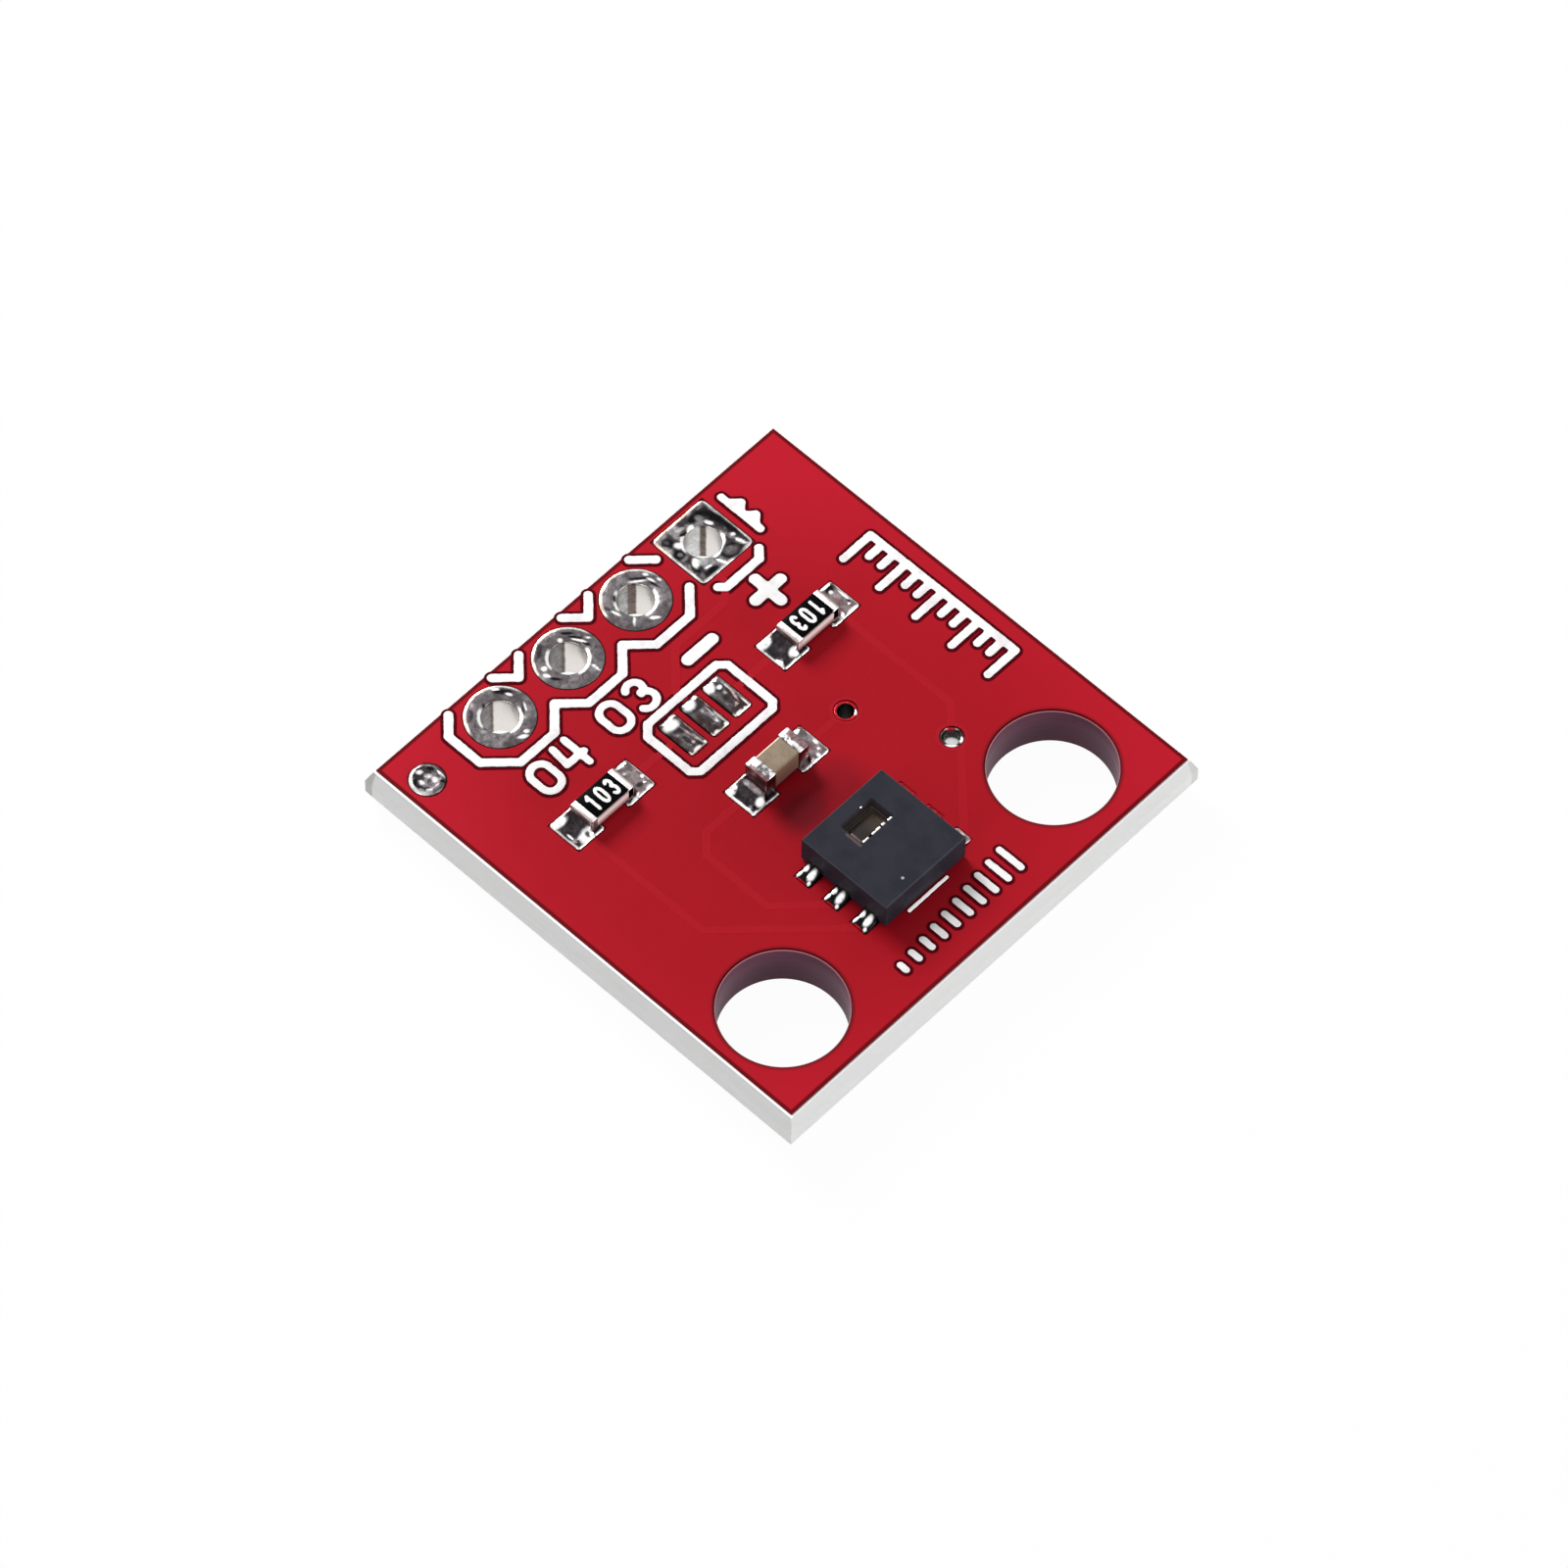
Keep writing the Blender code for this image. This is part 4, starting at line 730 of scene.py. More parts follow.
def make_corner_pad(tin):
    """A hole filled with solder that has sunk to a dish inside a raised ring."""
    rim = PAD_TOP + 0.06
    dish = [(0.0, 0.068), (0.05, 0.067), (0.1, 0.064), (0.15, 0.056), (0.2, 0.046), (0.25, 0.03)]
    dish += [(0.3, 0.014), (0.33, 0.005), (0.36, 0.0), (0.385, 0.0), (0.41, 0.004), (0.43, 0.01)]
    profile = [(radius, rim - depth) for radius, depth in dish]
    profile += [(0.455, rim - 0.022), (0.485, PAD_TOP + 0.014), (0.498, PAD_TOP - 0.012), (0.5, COPPER_BASE)]
    profile += [(0.3, COPPER_BASE), (0.3, LAMINATE_BOTTOM), (0.5, LAMINATE_BOTTOM - 0.004)]
    profile += [(0.5, 0.018), (0.482, 0.0), (0.0, 0.0)]
    bm = metal_sheet()
    turned(bm, profile, 72, closed=False)
    for vert in bm.verts:
        if vert.co.z > PAD_TOP:
            vert.co.z += 0.012 * lumps(vert.co, 6.0, 2.2)
    set_down(bm, CORNER_PAD)

    def tone_at(point):
        x, y = point.x - CORNER_PAD[0], point.y - CORNER_PAD[1]
        tone = mixed(TONES["dark"], TONES["grey"], ease(lumps((x, y), 6.0, 4.4), -0.1, 0.4))
        # Painted highlight on the lit side of the raised ring
        lit = band(math.degrees(math.atan2(y, x)) % 360, (50, 75), (200, 260))
        return mixed(tone, mixed(TONES["dull"], TONES["pale"], lit), ease(math.hypot(x, y), 0.39, 0.43))

    coat(bm, tone_at)
    daub(bm, as_seen(CORNER_PAD, CORNER_REFLECTIONS))
    finished("soldered_corner_pad", bm, tin, ["corner_pad"])


# Solder joints and jumper pads
def rounded(x, y, half_x, half_y, radius):
    """Move a point of a rectangle so that the rectangle's corners are round."""
    over_x, over_y = abs(x) - (half_x - radius), abs(y) - (half_y - radius)
    if over_x > 0 and over_y > 0:
        new_x = over_x * math.sqrt(1 - (over_y / radius) ** 2 / 2)
        new_y = over_y * math.sqrt(1 - (over_x / radius) ** 2 / 2)
        x = math.copysign(half_x - radius + new_x, x)
        y = math.copysign(half_y - radius + new_y, y)
    return x, y


def rim_distance(x, y, half_x, half_y, radius):
    """How far inside a rounded rectangle a point is."""
    over_x, over_y = abs(x) - (half_x - radius), abs(y) - (half_y - radius)
    if over_x > 0 and over_y > 0:
        return radius - math.hypot(over_x, over_y)
    return radius - max(over_x, over_y)


def pool(bm, columns, rows, half_y, height_at, tone_at, corner=0.09):
    """A skin of solder over a rounded land: a grid raised by a height, with walls and a floor."""
    layer = bm.verts.layers.float_color["tone"]
    low_x, high_x = columns[0], columns[-1]
    middle, half_x = (low_x + high_x) / 2, (high_x - low_x) / 2
    bmesh.ops.create_grid(bm, x_segments=len(columns) - 1, y_segments=rows, size=1.0)
    for vert in bm.verts:
        column = round((vert.co.x + 1) / 2 * (len(columns) - 1))
        x, y = rounded(columns[column] - middle, vert.co.y * half_y, half_x, half_y, corner)
        inside = max(0.0, rim_distance(x, y, half_x, half_y, corner))
        vert.co = (x + middle, y, height_at(x + middle, y, inside))
        vert[layer] = (*tone_at(x + middle, y, inside), 1.0)
    rim = [edge for edge in bm.edges if edge.is_boundary]
    walls = bmesh.ops.extrude_edge_only(bm, edges=rim)["geom"]
    for item in walls:
        if isinstance(item, bmesh.types.BMVert):
            item.co.z = COPPER_BASE
    floor = [item for item in walls if isinstance(item, bmesh.types.BMEdge) and item.is_boundary]
    bmesh.ops.contextual_create(bm, geom=floor)


def crown(inside, run):
    """The rounded shoulder of a liquid's edge: 0 at the rim and 1 from the run inward."""
    share = min(1.0, inside / run)
    return math.sqrt(1 - (1 - share) ** 2)


def joint(name, replaced, place, turn, sizes, lobes, seed, tones, daubs, solder):
    """The solder at one end of a part, concave from the part's end face out to the toe; its tones and daubs
    paint its reflections and glints.
    """
    face, toe, chip_half = sizes["end"] + 0.006, sizes["toe"], sizes["side"] * 0.86
    columns = spread(sizes["end"] - sizes["heel"], face - 0.002, 8) + spread(face, face + toe, 34)
    edge_height = 0.03
    middle_tone, rim_tone = (TONES[tone] for tone in tones)

    def height_at(x, y, inside):
        shoulder = crown(inside, 0.075)
        if x < face:
            return SOLDER_FOOT + 0.03 * shoulder
        away = (x - face) / toe
        climb = 1 - math.sqrt(1 - 0.96 * (1 - min(1.0, away * 1.05)) ** 2) if away < 0.95 else 0.0
        side = 1 - ease(abs(y), chip_half, chip_half + 0.16 + 0.1 * away)
        height = edge_height + (sizes["rise"] - edge_height) * climb * side
        height += 0.009 * lumps((x, y), 5.0, seed) + 0.004 * lumps((x, y), 11.0, seed + 5)
        for lobe_x, lobe_y, size, lift in lobes:
            reach = math.hypot(x - face - lobe_x, y - lobe_y) / size
            height += lift * math.exp(-reach * reach * 2)
        return SOLDER_FOOT + (height + 0.012) * shoulder

    # The middle and rim tones paint the joint's reflection and the glint along its rim
    def tone_at(x, y, inside):
        cloud = ease(lumps((x, y), 4.5, seed + 2), -0.25, 0.45)
        tone = mixed(mixed(middle_tone, TONES["black"], 0.35), middle_tone, cloud)
        return mixed(rim_tone, tone, ease(inside, 0.03, 0.065))

    bm = metal_sheet()
    pool(bm, columns, 50, sizes["width"] / 2, height_at, tone_at)
    set_down(bm, place, turn)
    daub(bm, daubs)
    finished(name, bm, solder, [replaced], angle=75)


# Where a joint starts, how far it runs out and back, how wide and high it is, and half the part's width
RESISTOR_JOINT = {"end": CHIP_END, "toe": 0.63, "heel": 0.36, "width": 1.1, "rise": 0.33, "side": CHIP_SIDE}
CAPACITOR_JOINT = RESISTOR_JOINT | {"rise": 0.36}
LEAD_JOINT = {"end": 1.525, "toe": 0.48, "heel": 0.4, "width": 0.54, "rise": 0.23, "side": 0.2}
# Lobes of solder as (out from the part, across, size, lift)
CHIP_LOBES = [(0.5, 0.4, 0.13, 0.05), (0.47, -0.38, 0.11, 0.055), (0.22, 0.46, 0.1, 0.025)]
LEAD_LOBES = [(0.22, 0.12, 0.12, 0.022), (0.22, -0.12, 0.12, 0.022)]
LEAD_ROWS = [(-1, 1), (-1, 0), (-1, -1), (1, -1), (1, 0), (1, 1)]
# Strokes of painted reflection and glint on each joint as (tone, x, y, half length, half width, turn) on the
# board
JOINT_REFLECTIONS = {
    "resistor_left west": [
        ("white", -5.22, 3.0, 0.34, 0.05), ("white", -5.36, 2.86, 0.23, 0.09, -8),
        ("white", -5.06, 2.98, 0.24, 0.055, 4), ("white", -5.16, 2.08, 0.2, 0.17, 15),
        ("dull", -5.1, 2.1, 0.06, 0.08), ("pale", -4.88, 2.62, 0.05, 0.2),
        ("white", -5.44, 2.4, 0.03, 0.1),
    ],
    "resistor_left east": [
        ("white", -3.0, 2.95, 0.22, 0.04), ("pale", -3.1, 2.7, 0.06, 0.04),
        ("white", -2.8, 2.36, 0.05, 0.05), ("white", -3.42, 2.03, 0.14, 0.04),
        ("white", -2.9, 1.99, 0.11, 0.045), ("dark", -2.62, 2.8, 0.05, 0.16),
        ("dark", -3.05, 2.2, 0.14, 0.07),
    ],
    "resistor_right west": [
        ("white", 2.52, 2.99, 0.34, 0.055), ("white", 2.33, 2.87, 0.2, 0.11, -5),
        ("white", 2.66, 2.97, 0.2, 0.035), ("white", 2.65, 2.14, 0.12, 0.11),
        ("white", 2.2, 2.2, 0.05, 0.14), ("pale", 2.9, 2.6, 0.05, 0.2),
    ],
    "resistor_right east": [
        ("plum", 4.6, 2.4, 0.16, 0.16), ("black", 4.76, 2.84, 0.17, 0.1, 8),
        ("white", 4.73, 2.75, 0.06, 0.055), ("white", 4.7, 2.99, 0.32, 0.045),
        ("white", 4.92, 2.44, 0.035, 0.22), ("dark", 4.88, 2.24, 0.05, 0.07),
        ("black", 4.42, 2.06, 0.09, 0.07), ("white", 4.4, 2.05, 0.08, 0.06),
        ("white", 4.76, 2.0, 0.2, 0.035),
    ],
    "capacitor west": [
        ("white", -1.53, 0.35, 0.16, 0.1, 12), ("white", -1.12, 0.46, 0.22, 0.035),
        ("white", -1.28, -0.43, 0.13, 0.11, 10), ("white", -1.58, -0.55, 0.1, 0.04),
        ("mauve", -1.13, -0.04, 0.06, 0.34), ("silver", -1.14, 0.2, 0.05, 0.08),
        ("white", -1.63, -0.08, 0.03, 0.42),
    ],
    "capacitor east": [
        ("white", 0.66, -0.58, 0.12, 0.05), ("white", 0.85, -0.5, 0.06, 0.06),
        ("white", 1.06, -0.6, 0.07, 0.04), ("white", 1.1, -0.15, 0.05, 0.08),
        ("white", 0.9, 0.4, 0.12, 0.06, -15), ("plum", 0.86, -0.06, 0.14, 0.28),
        ("grey", 0.98, 0.12, 0.08, 0.14),
    ],
}


def make_joints(solder):
    parts = [(part, place, turn, RESISTOR_JOINT) for part, (place, turn) in RESISTORS.items()]
    parts.append(("capacitor", CAPACITOR, 0.0, CAPACITOR_JOINT))
    for index, (part, place, turn, sizes) in enumerate(parts):
        for end, angle in (("a", 0.0), ("b", math.pi)):
            west = math.cos(turn + angle) < 0
            lobes, tones = (CHIP_LOBES, ("dark", "pale")) if west else (CHIP_LOBES[:2], ("mauve", "pale"))
            daubs = JOINT_REFLECTIONS[f"{part} {'west' if west else 'east'}"]
            names = (f"{part}_joint_{end}", f"{part}_solder_{end}")
            seed = 1.3 + index * 2.9 + angle
            joint(*names, place, turn + angle, sizes, lobes, seed, tones, daubs, solder)
    for number, (side, row) in enumerate(LEAD_ROWS, start=1):
        x, y = SENSOR[0], SENSOR[1] + row
        # The lead joints' tones and daubs paint their reflections and glints
        turn, tones = math.pi, ("black", "black")
        daubs = [("red", x - 2.02, y, 0.05, 0.16), ("white", x - 1.66, y + 0.15, 0.085, 0.06, 12)]
        daubs += [("white", x - 1.88, y + 0.19, 0.1, 0.035, -4), ("white", x - 1.72, y - 0.09, 0.16, 0.09, 8)]
        daubs += [("white", x - 1.93, y - 0.18, 0.06, 0.045, 20)]
        if side > 0:
            turn, tones = 0.0, ("grey", "pink") if row < 0 else ("red", "red")
            daubs = [("grey", x + 1.68, y, 0.21, 0.24), ("white", x + 1.67, y + 0.1, 0.1, 0.05)]
            daubs += [("pale", x + 1.64, y - 0.1, 0.13, 0.05), ("pink", 1.7, -4.85, 0.1, 0.06)]
        names = (f"sensor_joint_{number}", f"sensor_solder_{number}")
        joint(*names, (x, y), turn, LEAD_JOINT, LEAD_LOBES, 12.1 + number, tones, daubs, solder)


# Strokes of painted reflection and glint on each jumper pad as (tone, x, y, half length, half width, turn)
JUMPER_REFLECTIONS = {
    "jumper_pad_left": [
        ("dark", -1.13, 2.66, 0.24, 0.1), ("white", -1.18, 2.88, 0.22, 0.15, -10),
        ("white", -1.02, 3.05, 0.22, 0.035), ("mauve", -1.02, 2.35, 0.035, 0.3, 4),
        ("dark", -1.2, 2.2, 0.07, 0.3), ("silver", -0.96, 2.1, 0.03, 0.2),
        ("white", -1.2, 1.9, 0.12, 0.05), ("white", -0.9, 1.92, 0.05, 0.04),
        ("pink", -0.86, 2.6, 0.03, 0.16),
    ],
    "jumper_pad_middle": [
        ("dark", -0.28, 2.8, 0.22, 0.12), ("white", -0.41, 2.96, 0.17, 0.14, 4),
        ("white", -0.13, 3.04, 0.08, 0.05), ("silver", -0.28, 2.62, 0.05, 0.05),
        ("dark", -0.38, 2.3, 0.1, 0.28), ("silver", -0.16, 2.4, 0.025, 0.28, -6),
        ("pale", -0.08, 2.15, 0.04, 0.22), ("white", -0.48, 1.89, 0.09, 0.05),
        ("white", -0.12, 1.9, 0.07, 0.05), ("pink", -0.04, 2.66, 0.03, 0.1),
    ],
    "jumper_pad_right": [
        ("dark", 0.52, 2.8, 0.17, 0.14), ("white", 0.34, 2.95, 0.15, 0.13, -4),
        ("white", 0.55, 2.8, 0.075, 0.065), ("white", 0.6, 3.06, 0.14, 0.035),
        ("silver", 0.52, 2.58, 0.05, 0.05), ("dark", 0.45, 2.36, 0.1, 0.26),
        ("pale", 0.72, 2.66, 0.03, 0.22), ("pink", 0.66, 2.38, 0.03, 0.22, -14),
        ("white", 0.72, 2.02, 0.03, 0.16), ("white", 0.36, 1.89, 0.12, 0.05),
        ("white", 0.58, 1.88, 0.05, 0.04),
    ],
}


def make_jumper_pads(solder):
    for seed, (name, x) in enumerate(JUMPER_PADS.items()):

        def height_at(across, along, inside):
            pillow = crown(inside, 0.235)
            ridge = 0.012 * lumps((across * 2.6, along * 0.8), 4.0, seed * 3.3 + 0.7)
            ends = 0.03 * math.exp(-((abs(along) - 0.47) / 0.1) ** 2) * math.exp(-(across / 0.16) ** 2)
            return SOLDER_FOOT + (0.085 + ridge + ends) * pillow

        def tone_at(across, along, inside):
            cloud = ease(lumps((across, along * 0.5), 5.0, seed + 8.0), -0.2, 0.4)
            # Painted rim: pale as a glint on its +X side and -Y end, dark elsewhere
            rim = TONES["pale"] if across > 0.1 or along < -0.5 else TONES["dark"]
            return mixed(rim, mixed(TONES["umber"], TONES["ash"], cloud), ease(inside, 0.02, 0.055))

        bm = metal_sheet()
        pool(bm, spread(-0.31, 0.31, 28), 60, 0.65, height_at, tone_at)
        set_down(bm, (x, RESISTOR_Y))
        daub(bm, JUMPER_REFLECTIONS[name])
        finished(f"tinned_{name}", bm, solder, [name], angle=75)


# Chips, hole walls and the sensor's window
def make_bands(finishes):
    """The glaze of the resistors and the plated ends of all chips, with soft edges."""
    chips = []
    for part, (place, turn) in RESISTORS.items():
        chips.append((part, place, turn, 0.27, 1.974, "plating"))
        bm = bmesh.new()
        slab(bm, (-0.6, -0.388, 1.95), (0.6, 0.388, 1.982), 0.008)
        set_down(bm, place)
        finished(f"{part}_overglaze", bm, finishes["glaze"], [f"{part}_glaze"])
    chips.append(("capacitor", CAPACITOR, 0.0, 0.37, 2.324, "dull_plating"))
    for part, place, turn, width, top, finish in chips:
        for end, angle in (("a", 0.0), ("b", math.pi)):
            bm = bmesh.new()
            low, high = (CHIP_END - width, -CHIP_SIDE, CHIP_BOTTOM), (CHIP_END, CHIP_SIDE, top)
            slab(bm, low, high, 0.045, 4)
            set_down(bm, place, turn + angle)
            finished(f"{part}_plated_end_{end}", bm, finishes[finish], [f"{part}_band_{end}"])


def make_hole_walls(finish):
    """A smooth lining for each mounting hole, as the drill leaves it."""
    inner, outer = MOUNT_RADIUS - 0.008, MOUNT_RADIUS + 0.012
    low, high = LAMINATE_BOTTOM + 0.002, LAMINATE_TOP + 0.003
    profile = [(inner, low), (inner, 0.5), (inner, 1.0), (inner, high - 0.01), (inner + 0.006, high)]
    for side, place in MOUNT_HOLES.items():
        bm = bmesh.new()
        turned(bm, profile + [(outer, high), (outer, low)], 128)
        set_down(bm, place)
        finished(f"hole_wall_{side}", bm, finish)


def make_sensor_window(finishes):
    """The sensing die on the window's floor, and bright lips along the window's edges that stand in for
    glints on its rim.
    """
    floor, top = HOUSING_TOP - 0.42 + 0.004, HOUSING_TOP - 0.002
    x, y = WINDOW
    bm = bmesh.new()
    slab(bm, (x - 0.43, y - 0.24, floor), (x + 0.43, y + 0.24, floor + 0.12), 0.012)
    finished("sensing_die", bm, finishes["film"], ["sensor_element"])
    bm = bmesh.new()
    # Bright lips placed as painted glints along the window's front rim
    lips = [(-0.71, -0.48, 0.0), (-0.37, -0.2, 0.0), (-0.21, -0.04, 0.01)]
    lips += [(0.01, 0.13, 0.02), (0.22, 0.39, 0.0)]
    for low_x, high_x, shift in lips:
        slab(bm, (low_x, y - 0.409, top - 0.05), (high_x, y - 0.345 + shift, top), 0.022, 3)
    slab(bm, (0.0, y + 0.372, top - 0.05), (0.07, y + 0.409, top), 0.01)
    finished("window_glint_lips", bm, finishes["plating"])
    bm = bmesh.new()
    # A brown lip on the left rim, placed as a painted glint
    slab(bm, (-0.759, y - 0.36, top - 0.12), (-0.665, y + 0.05, top - 0.05), 0.02)
    finished("window_side_glint", bm, finishes["lip"])


# Printed marks
def capsule(bm, first, second, radius):
    """A round rod with round ends: a sphere with one half pulled along the line."""
    start, end = Vector((*first, 0)), Vector((*second, 0))
    run = end - start
    turn = Vector((0, 0, 1)).rotation_difference(run.normalized()).to_matrix().to_4x4()
    sphere = bmesh.ops.create_uvsphere(bm, u_segments=16, v_segments=10, radius=radius)
    far = [vert for vert in sphere["verts"] if vert.co.z > radius * 0.05]
    bmesh.ops.translate(bm, vec=(0, 0, run.length), verts=far)
    bmesh.ops.transform(bm, matrix=Matrix.Translation(start) @ turn, verts=sphere["verts"])


def one_skin(bm, voxel):
    """One closed skin round solids that overlap."""
    draft = in_scene("draft", bm)
    joined = draft.modifiers.new("joined", "REMESH")
    joined.mode = "VOXEL"
    joined.voxel_size = voxel
    skin = bmesh.new()
    skin.from_object(draft, bpy.context.evaluated_depsgraph_get())
    mesh = draft.data
    bpy.data.objects.remove(draft, do_unlink=True)
    bpy.data.meshes.remove(mesh)
    skin.normal_update()
    return skin


def ink(name, paths, width, finishes, replaced=(), level=INK_LEVEL, voxel=0.028, rim=0.085, look="ink"):
    """Printed lines: round rods joined in one skin and pressed flat, with a dark rim of painted shade under
    them.
    """
    bm = bmesh.new()
    for path in paths:
        for first, second in zip(path, path[1:]):
            capsule(bm, first, second, width / 2)
    bm = one_skin(bm, voxel)
    # The rim is a dark sheet of painted shade round the print
    if rim:
        edge = bm.copy()
        edge.normal_update()
        for vert in edge.verts:
            vert.co.x += vert.normal.x * rim
            vert.co.y += vert.normal.y * rim
            vert.co.z = vert.co.z / width * RIM_THICKNESS + level - RIM_THICKNESS
        finished(f"{name}_rim", edge, finishes["painted_ink_shade"])
    waver = 0.01
    for vert in bm.verts:
        vert.co.x += waver * lumps(vert.co, 7.0, 1.9)
        vert.co.y += waver * lumps(vert.co, 7.0, 4.6)
        vert.co.z = vert.co.z / width * INK_THICKNESS + level + INK_THICKNESS / 2
    finished(name, bm, finishes[look], replaced)


def header_outline():
    """One line round the front of pins 4, 3 and 2, notched between them."""
    reach, notch, end_rise, end_run = 1.38, 0.74, 0.99, 0.47
    flat = PITCH / 2 - (reach - notch)
    left = PIN_X[4] - reach
    points = [(left + end_run, HEADER_Y + end_rise), (left, HEADER_Y + end_rise - end_run)]
    points += [(left, HEADER_Y - flat), (left + reach - flat, HEADER_Y - reach)]
    for pin in (4, 3, 2):
        if pin != 4:
            points.append((PIN_X[pin] - flat, HEADER_Y - reach))
        points.append((PIN_X[pin] + flat, HEADER_Y - reach))
        points.append((PIN_X[pin] + PITCH / 2, HEADER_Y - notch))
    return points


def digit(figure):
    """The strokes of a plain figure in a cell 0.6 wide and 1 high."""
    if figure == "0":
        loop = arc((0.3, 0.7), 0.3, 0, 180) + arc((0.3, 0.3), 0.3, 180, 360)
        return [loop + loop[:1]]
    if figure == "1":
        return [[(0.12, 0.8), (0.36, 1.0), (0.36, 0.0)]]
    if figure == "3":
        return [arc((0.28, 0.755), 0.245, 150, -80) + arc((0.28, 0.275), 0.285, 80, -150)]
    return [[(0.06, 1.0), (0.0, 0.36), (0.6, 0.36)], [(0.48, 1.0), (0.48, 0.0)]]


def written(figures, centre, height, turn=0.0, slim=1.0, gap=0.34):
    """Strokes of plain figures in a row about a point."""
    advance = 0.6 * slim + gap
    length = advance * len(figures) - gap
    cosine, sine = math.cos(turn), math.sin(turn)
    paths = []
    for index, figure in enumerate(figures):
        for path in digit(figure):
            paths.append([])
            for x, y in path:
                along = (x * slim + index * advance - length / 2) * height
                up = (y - 0.5) * height
                place = centre[0] + along * cosine - up * sine, centre[1] + along * sine + up * cosine
                paths[-1].append(place)
    return paths


def cut_frame(low, high, cuts):
    """A closed line round a rectangle, with corners cut from its (+,+), (-,+), (-,-) and (+,-) end."""
    points = []
    for (sx, sy), cut in zip(((1, 1), (-1, 1), (-1, -1), (1, -1)), cuts):
        x, y = high[0] if sx > 0 else low[0], high[1] if sy > 0 else low[1]
        first, second = (x, y - sy * cut), (x - sx * cut, y)
        points += [first, second] if sx * sy > 0 else [second, first]
    return points + points[:1]


def make_legend(finishes):
    """The lines that replace the CAD's, and the plain signs, figures, scale and bars beside them."""
    line = 0.262
    ink("printed_header_outline", [header_outline()], line, finishes, ["legend_header_outline"])
    rise, run = HEADER_Y + 0.99, 0.5
    for name, pin in (("chevron_left", 4), ("chevron_middle", 3), ("stroke_right", 2)):
        x = PIN_X[pin] + PITCH / 2 - (0.07 if pin == 4 else 0.0)
        points = [(x - run, rise), (x, rise - run), (x + run, rise)]
        if pin == 2:
            points.pop()
        ink(f"printed_{name}", [points], line, finishes, [f"legend_{name}"])
    x, y = PIN_X[1], HEADER_Y - 1.45
    trough = [(x - 0.76, y + 0.16), (x - 0.6, y), (x + 0.64, y), (x + 0.88, y + 0.24)]
    ink("printed_pin_mark", [trough], line, finishes, ["legend_pin_mark"])
    bar = [[(4.92, 5.5), (4.92, 6.93)], [(4.95, 6.66), (5.17, 6.45), (4.95, 6.24)]]
    bar.append([(4.95, 6.1), (5.17, 5.9), (4.95, 5.7)])
    ink("printed_pin_bar", bar, 0.235, finishes, ["legend_pin_bar"])
    frame_line = cut_frame((-1.83, 1.37), (1.24, 3.37), (0.22, 0.28, 0.2, 0.17))
    ink("printed_jumper_frame", [frame_line], 0.25, finishes, ["legend_jumper_frame"])
    sensor_line = [(ROW_X - 0.71, -5.45), (ROW_X + 0.71, -5.45)]
    # The sensor's bar glows: painted light against the shade it lies in
    thin = {"voxel": 0.016, "rim": 0.03, "look": "glowing_ink"}
    ink("printed_sensor_bar", [sensor_line], 0.1, finishes, ["legend_sensor_bar"], **thin)
    ink("printed_plus", [[(3.2, 4.02), (4.14, 4.02)], [(3.67, 3.55), (3.67, 4.49)]], 0.345, finishes)
    ink("printed_minus", [[(0.625, 4.01), (1.535, 4.01)]], 0.36, finishes)
    for figures, x in (("04", -4.08), ("03", -1.49)):
        paths = written(figures, (x, 4.135), 0.93, slim=1.08, gap=0.4)
        ink(f"printed_figure_{figures}", paths, 0.22, finishes)
    spine, low, high = 6.8, -1.95, 3.27
    ticks = [[(spine, low), (spine, high)]]
    for index, y in enumerate(spread(low, high, 12)):
        ticks.append([(spine, y), (5.76 if index % 3 == 0 else 6.28, y)])
    ink("printed_scale", ticks, 0.24, finishes, voxel=0.025)
    bars = [[(-2.3 + 0.48 * step, -6.62), (-2.3 + 0.48 * step, -6.42 + 0.062 * step)] for step in range(10)]
    ink("printed_level_bars", bars, 0.2, finishes, voxel=0.025)
    for name, (place, turn) in RESISTORS.items():
        paths = written("103", place, 0.49, turn, slim=0.58, gap=0.37)
        ink(f"{name}_figures", paths, 0.1, finishes, level=1.983, voxel=0.012, rim=0)


# Camera, light and floor
def make_camera():
    azimuth, elevation, roll = map(math.radians, (-47.07809, 57.75971, 0.94804))
    across = math.cos(elevation)
    back = Vector((math.sin(azimuth) * across, -math.cos(azimuth) * across, math.sin(elevation)))
    level = Vector((math.cos(azimuth), math.sin(azimuth), 0))
    upright = back.cross(level)
    right = level * math.cos(roll) + upright * math.sin(roll)
    up = upright * math.cos(roll) - level * math.sin(roll)
    lens = bpy.data.cameras.new("camera")
    lens.sensor_width, lens.lens = 36.0, 247.5
    lens.clip_start, lens.clip_end = 0.01, 20.0
    camera = in_scene("camera", lens)
    aim, away = Vector((-0.40162, -0.45274, 1.5)), 280.17747
    turn = Matrix((right, up, back)).transposed().to_4x4()
    camera.matrix_world = Matrix.Translation((aim + back * away) * MM) @ turn
    bpy.context.scene.camera = camera


def make_lamp(name, toward, distance, size, level):
    """A square lamp in a direction; its level is what it adds to a white surface that faces it."""
    lamp = bpy.data.lights.new(name, "AREA")
    lamp.shape = "SQUARE"
    lamp.size = size
    lamp.energy = level * (math.pi * distance) ** 2
    item = in_scene(name, lamp)
    direction = Vector(toward).normalized()
    item.location = direction * distance
    item.rotation_mode = "QUATERNION"
    item.rotation_quaternion = direction.to_track_quat("Z", "Y")


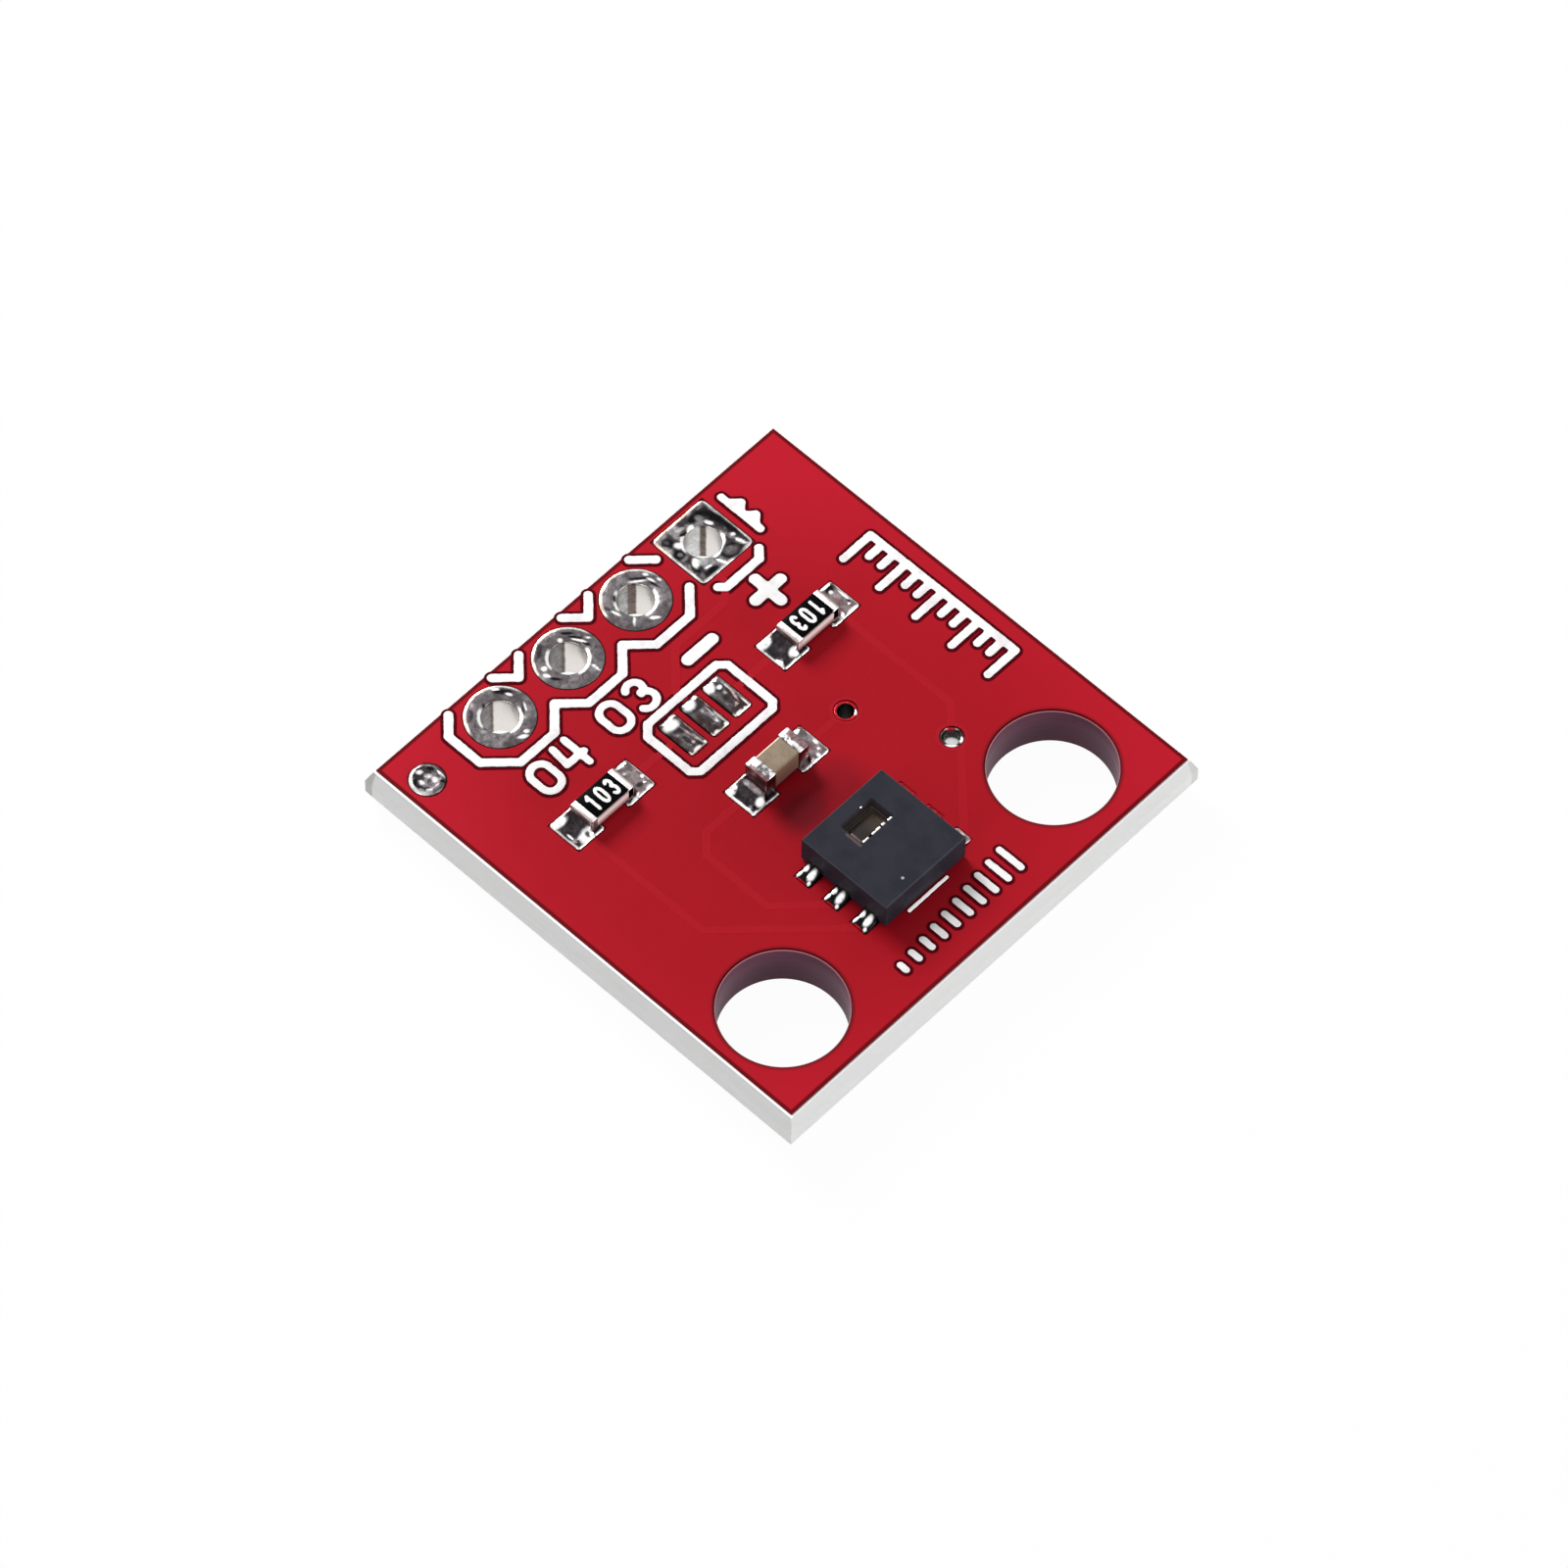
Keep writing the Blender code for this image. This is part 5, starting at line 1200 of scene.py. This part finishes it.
def two_shades(tree, lit, seen, share, output):
    """One shader for the light on things, and one for rays that see, mirror or refract the background."""
    kinds = ("Camera", "Glossy", "Transmission")
    camera, glossy, transmission = [add_node(tree, "LightPath", output=f"Is {kind} Ray") for kind in kinds]
    direct = (camera | glossy | transmission) * share
    mix = add_node(tree, "MixShader", sockets={0: direct, 1: lit, 2: seen})
    feed(tree, tree.nodes.new(output).inputs[0], mix)


def make_world(ambient):
    world = bpy.data.worlds.new("studio")
    bpy.context.scene.world = world
    world.use_nodes = True
    tree = world.node_tree
    tree.nodes.clear()
    lit, seen = [{"Color": WHITE, "Strength": level} for level in (ambient, 1.0)]
    lit, seen = add_node(tree, "Background", sockets=lit), add_node(tree, "Background", sockets=seen)
    two_shades(tree, lit, seen, 1.0, "ShaderNodeOutputWorld")


def make_floor():
    bm = bmesh.new()
    bmesh.ops.create_grid(bm, x_segments=1, y_segments=1, size=3.0)
    bmesh.ops.translate(bm, vec=(0, 0, -1e-5), verts=bm.verts)
    floor = in_scene("floor", bm)
    material = bpy.data.materials.new("white floor")
    material.use_nodes = True
    tree = material.node_tree
    tree.nodes.clear()
    paper = add_node(tree, "BsdfDiffuse", sockets={"Color": (0.9, 0.9, 0.9)})
    glow = add_node(tree, "Emission", sockets={"Color": WHITE})
    two_shades(tree, paper, glow, 0.965, "ShaderNodeOutputMaterial")
    floor.data.materials.append(material)


def dress(finish, *names):
    """Give a finish to nodes of the CAD model."""
    for name in names:
        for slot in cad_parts[name].material_slots:
            slot.material = finish


def make_finishes():
    """Each metal's tones are its pale and shaded top, its side and its foot; side and foot paint the shade
    and reflections on upright faces.
    """
    bright = ((0.95, 0.93, 0.91), (0.74, 0.7, 0.68), (0.34, 0.27, 0.27), (0.42, 0.34, 0.33))
    dull = ((0.8, 0.79, 0.78), (0.11, 0.105, 0.11), (0.17, 0.075, 0.085), (0.38, 0.29, 0.3))
    # Painted shade: the leads are dark as the shade under the sensor's body makes them
    lead = ((0.22, 0.2, 0.2), (0.09, 0.08, 0.085), (0.06, 0.045, 0.05), (0.1, 0.06, 0.065))
    on_capacitor = {"centres": [CAPACITOR[0]], "strip": 0.68, "lean": 0.09, "lit_from": CAPACITOR[1] + 0.31}
    chalk = ((0.78, 0.7, 0.66), (0.86, 0.8, 0.77))
    tan = ((0.25, 0.19, 0.13), (0.31, 0.24, 0.165))
    brown = ((0.105, 0.075, 0.07), (0.15, 0.105, 0.1))
    # Painted shade on the resistors' sides, with a painted shadow under their top's brow
    side_shading = {"levels": (1.6, 1.78, 1.9, 1.935), "foot": (0.4, 0.24, 0.24), "brow": (0.06, 0.03, 0.03)}
    warm = {"levels": (1.55, 1.95, 2.4, 2.45), "foot": (0.34, 0.2, 0.17), "lit_from": CAPACITOR[1] + 0.325}
    resistors = [place[0] for place, turn in RESISTORS.values()]
    return {
        "mask": solder_mask_finish(),
        "laminate": laminate_finish(),
        "hole_wall": hole_wall_finish(),
        "tin": metal_finish("hot tinned copper", 0.26, 0.3, 0.005),
        "solder": metal_finish("reflowed solder", 0.3, 0.26, 0.006),
        "plating": plating_finish("tin plating", bright, 0.36, centres=resistors, strip=0.72),
        "dull_plating": plating_finish("dull plating", dull, 0.3, mottle_scale=8.0, **on_capacitor),
        "lead_plating": plating_finish("lead plating", lead, 0.3),
        "ceramic": ceramic_finish("chip ceramic", chalk, (0.98, 0.83, 0.8), 6.0, 0.6, **side_shading),
        "glaze": glaze_finish(),
        "dielectric": ceramic_finish("capacitor ceramic", tan, (0.27, 0.165, 0.11), 5.0, 0.48, **warm),
        "lip": ceramic_finish("window lip", brown, (0.09, 0.06, 0.055), 9.0, 0.5),
        "mould": moulding_finish(),
        "film": film_finish(),
        "ink": ink_finish("white ink"),
        "glowing_ink": ink_finish("glowing white ink", 0.4),
        "painted_ink_shade": ink_rim_finish(),
    }


def main():
    finishes = make_finishes()
    dress(finishes["mask"], "solder_mask_top", "solder_mask_bottom")
    dress(finishes["laminate"], "board_laminate")
    dress(finishes["ceramic"], *(f"{part}_core" for part in RESISTORS))
    dress(finishes["dielectric"], "capacitor_body")
    dress(finishes["mould"], "sensor_housing")
    dress(finishes["plating"], "sensor_thermal_pad")
    dress(finishes["lead_plating"], *(f"sensor_lead_{number}" for number in range(1, 7)))
    make_hole_walls(finishes["hole_wall"])
    make_header_pads(finishes["tin"])
    make_vias(finishes["tin"])
    make_corner_pad(finishes["tin"])
    make_jumper_pads(finishes["solder"])
    make_joints(finishes["solder"])
    make_bands(finishes)
    make_sensor_window(finishes)
    make_legend(finishes)
    make_camera()
    make_world(ambient=0.36)
    make_lamp("key", (0.16, 0.8, 0.6), distance=0.3, size=0.12, level=0.95)
    make_lamp("fill", (0.3, -0.9, 0.16), distance=0.4, size=0.2, level=0.57)
    make_lamp("side", (-0.95, -0.1, 0.12), distance=0.4, size=0.2, level=0.26)
    make_floor()
    bpy.context.scene.view_settings.view_transform = "Standard"


main()
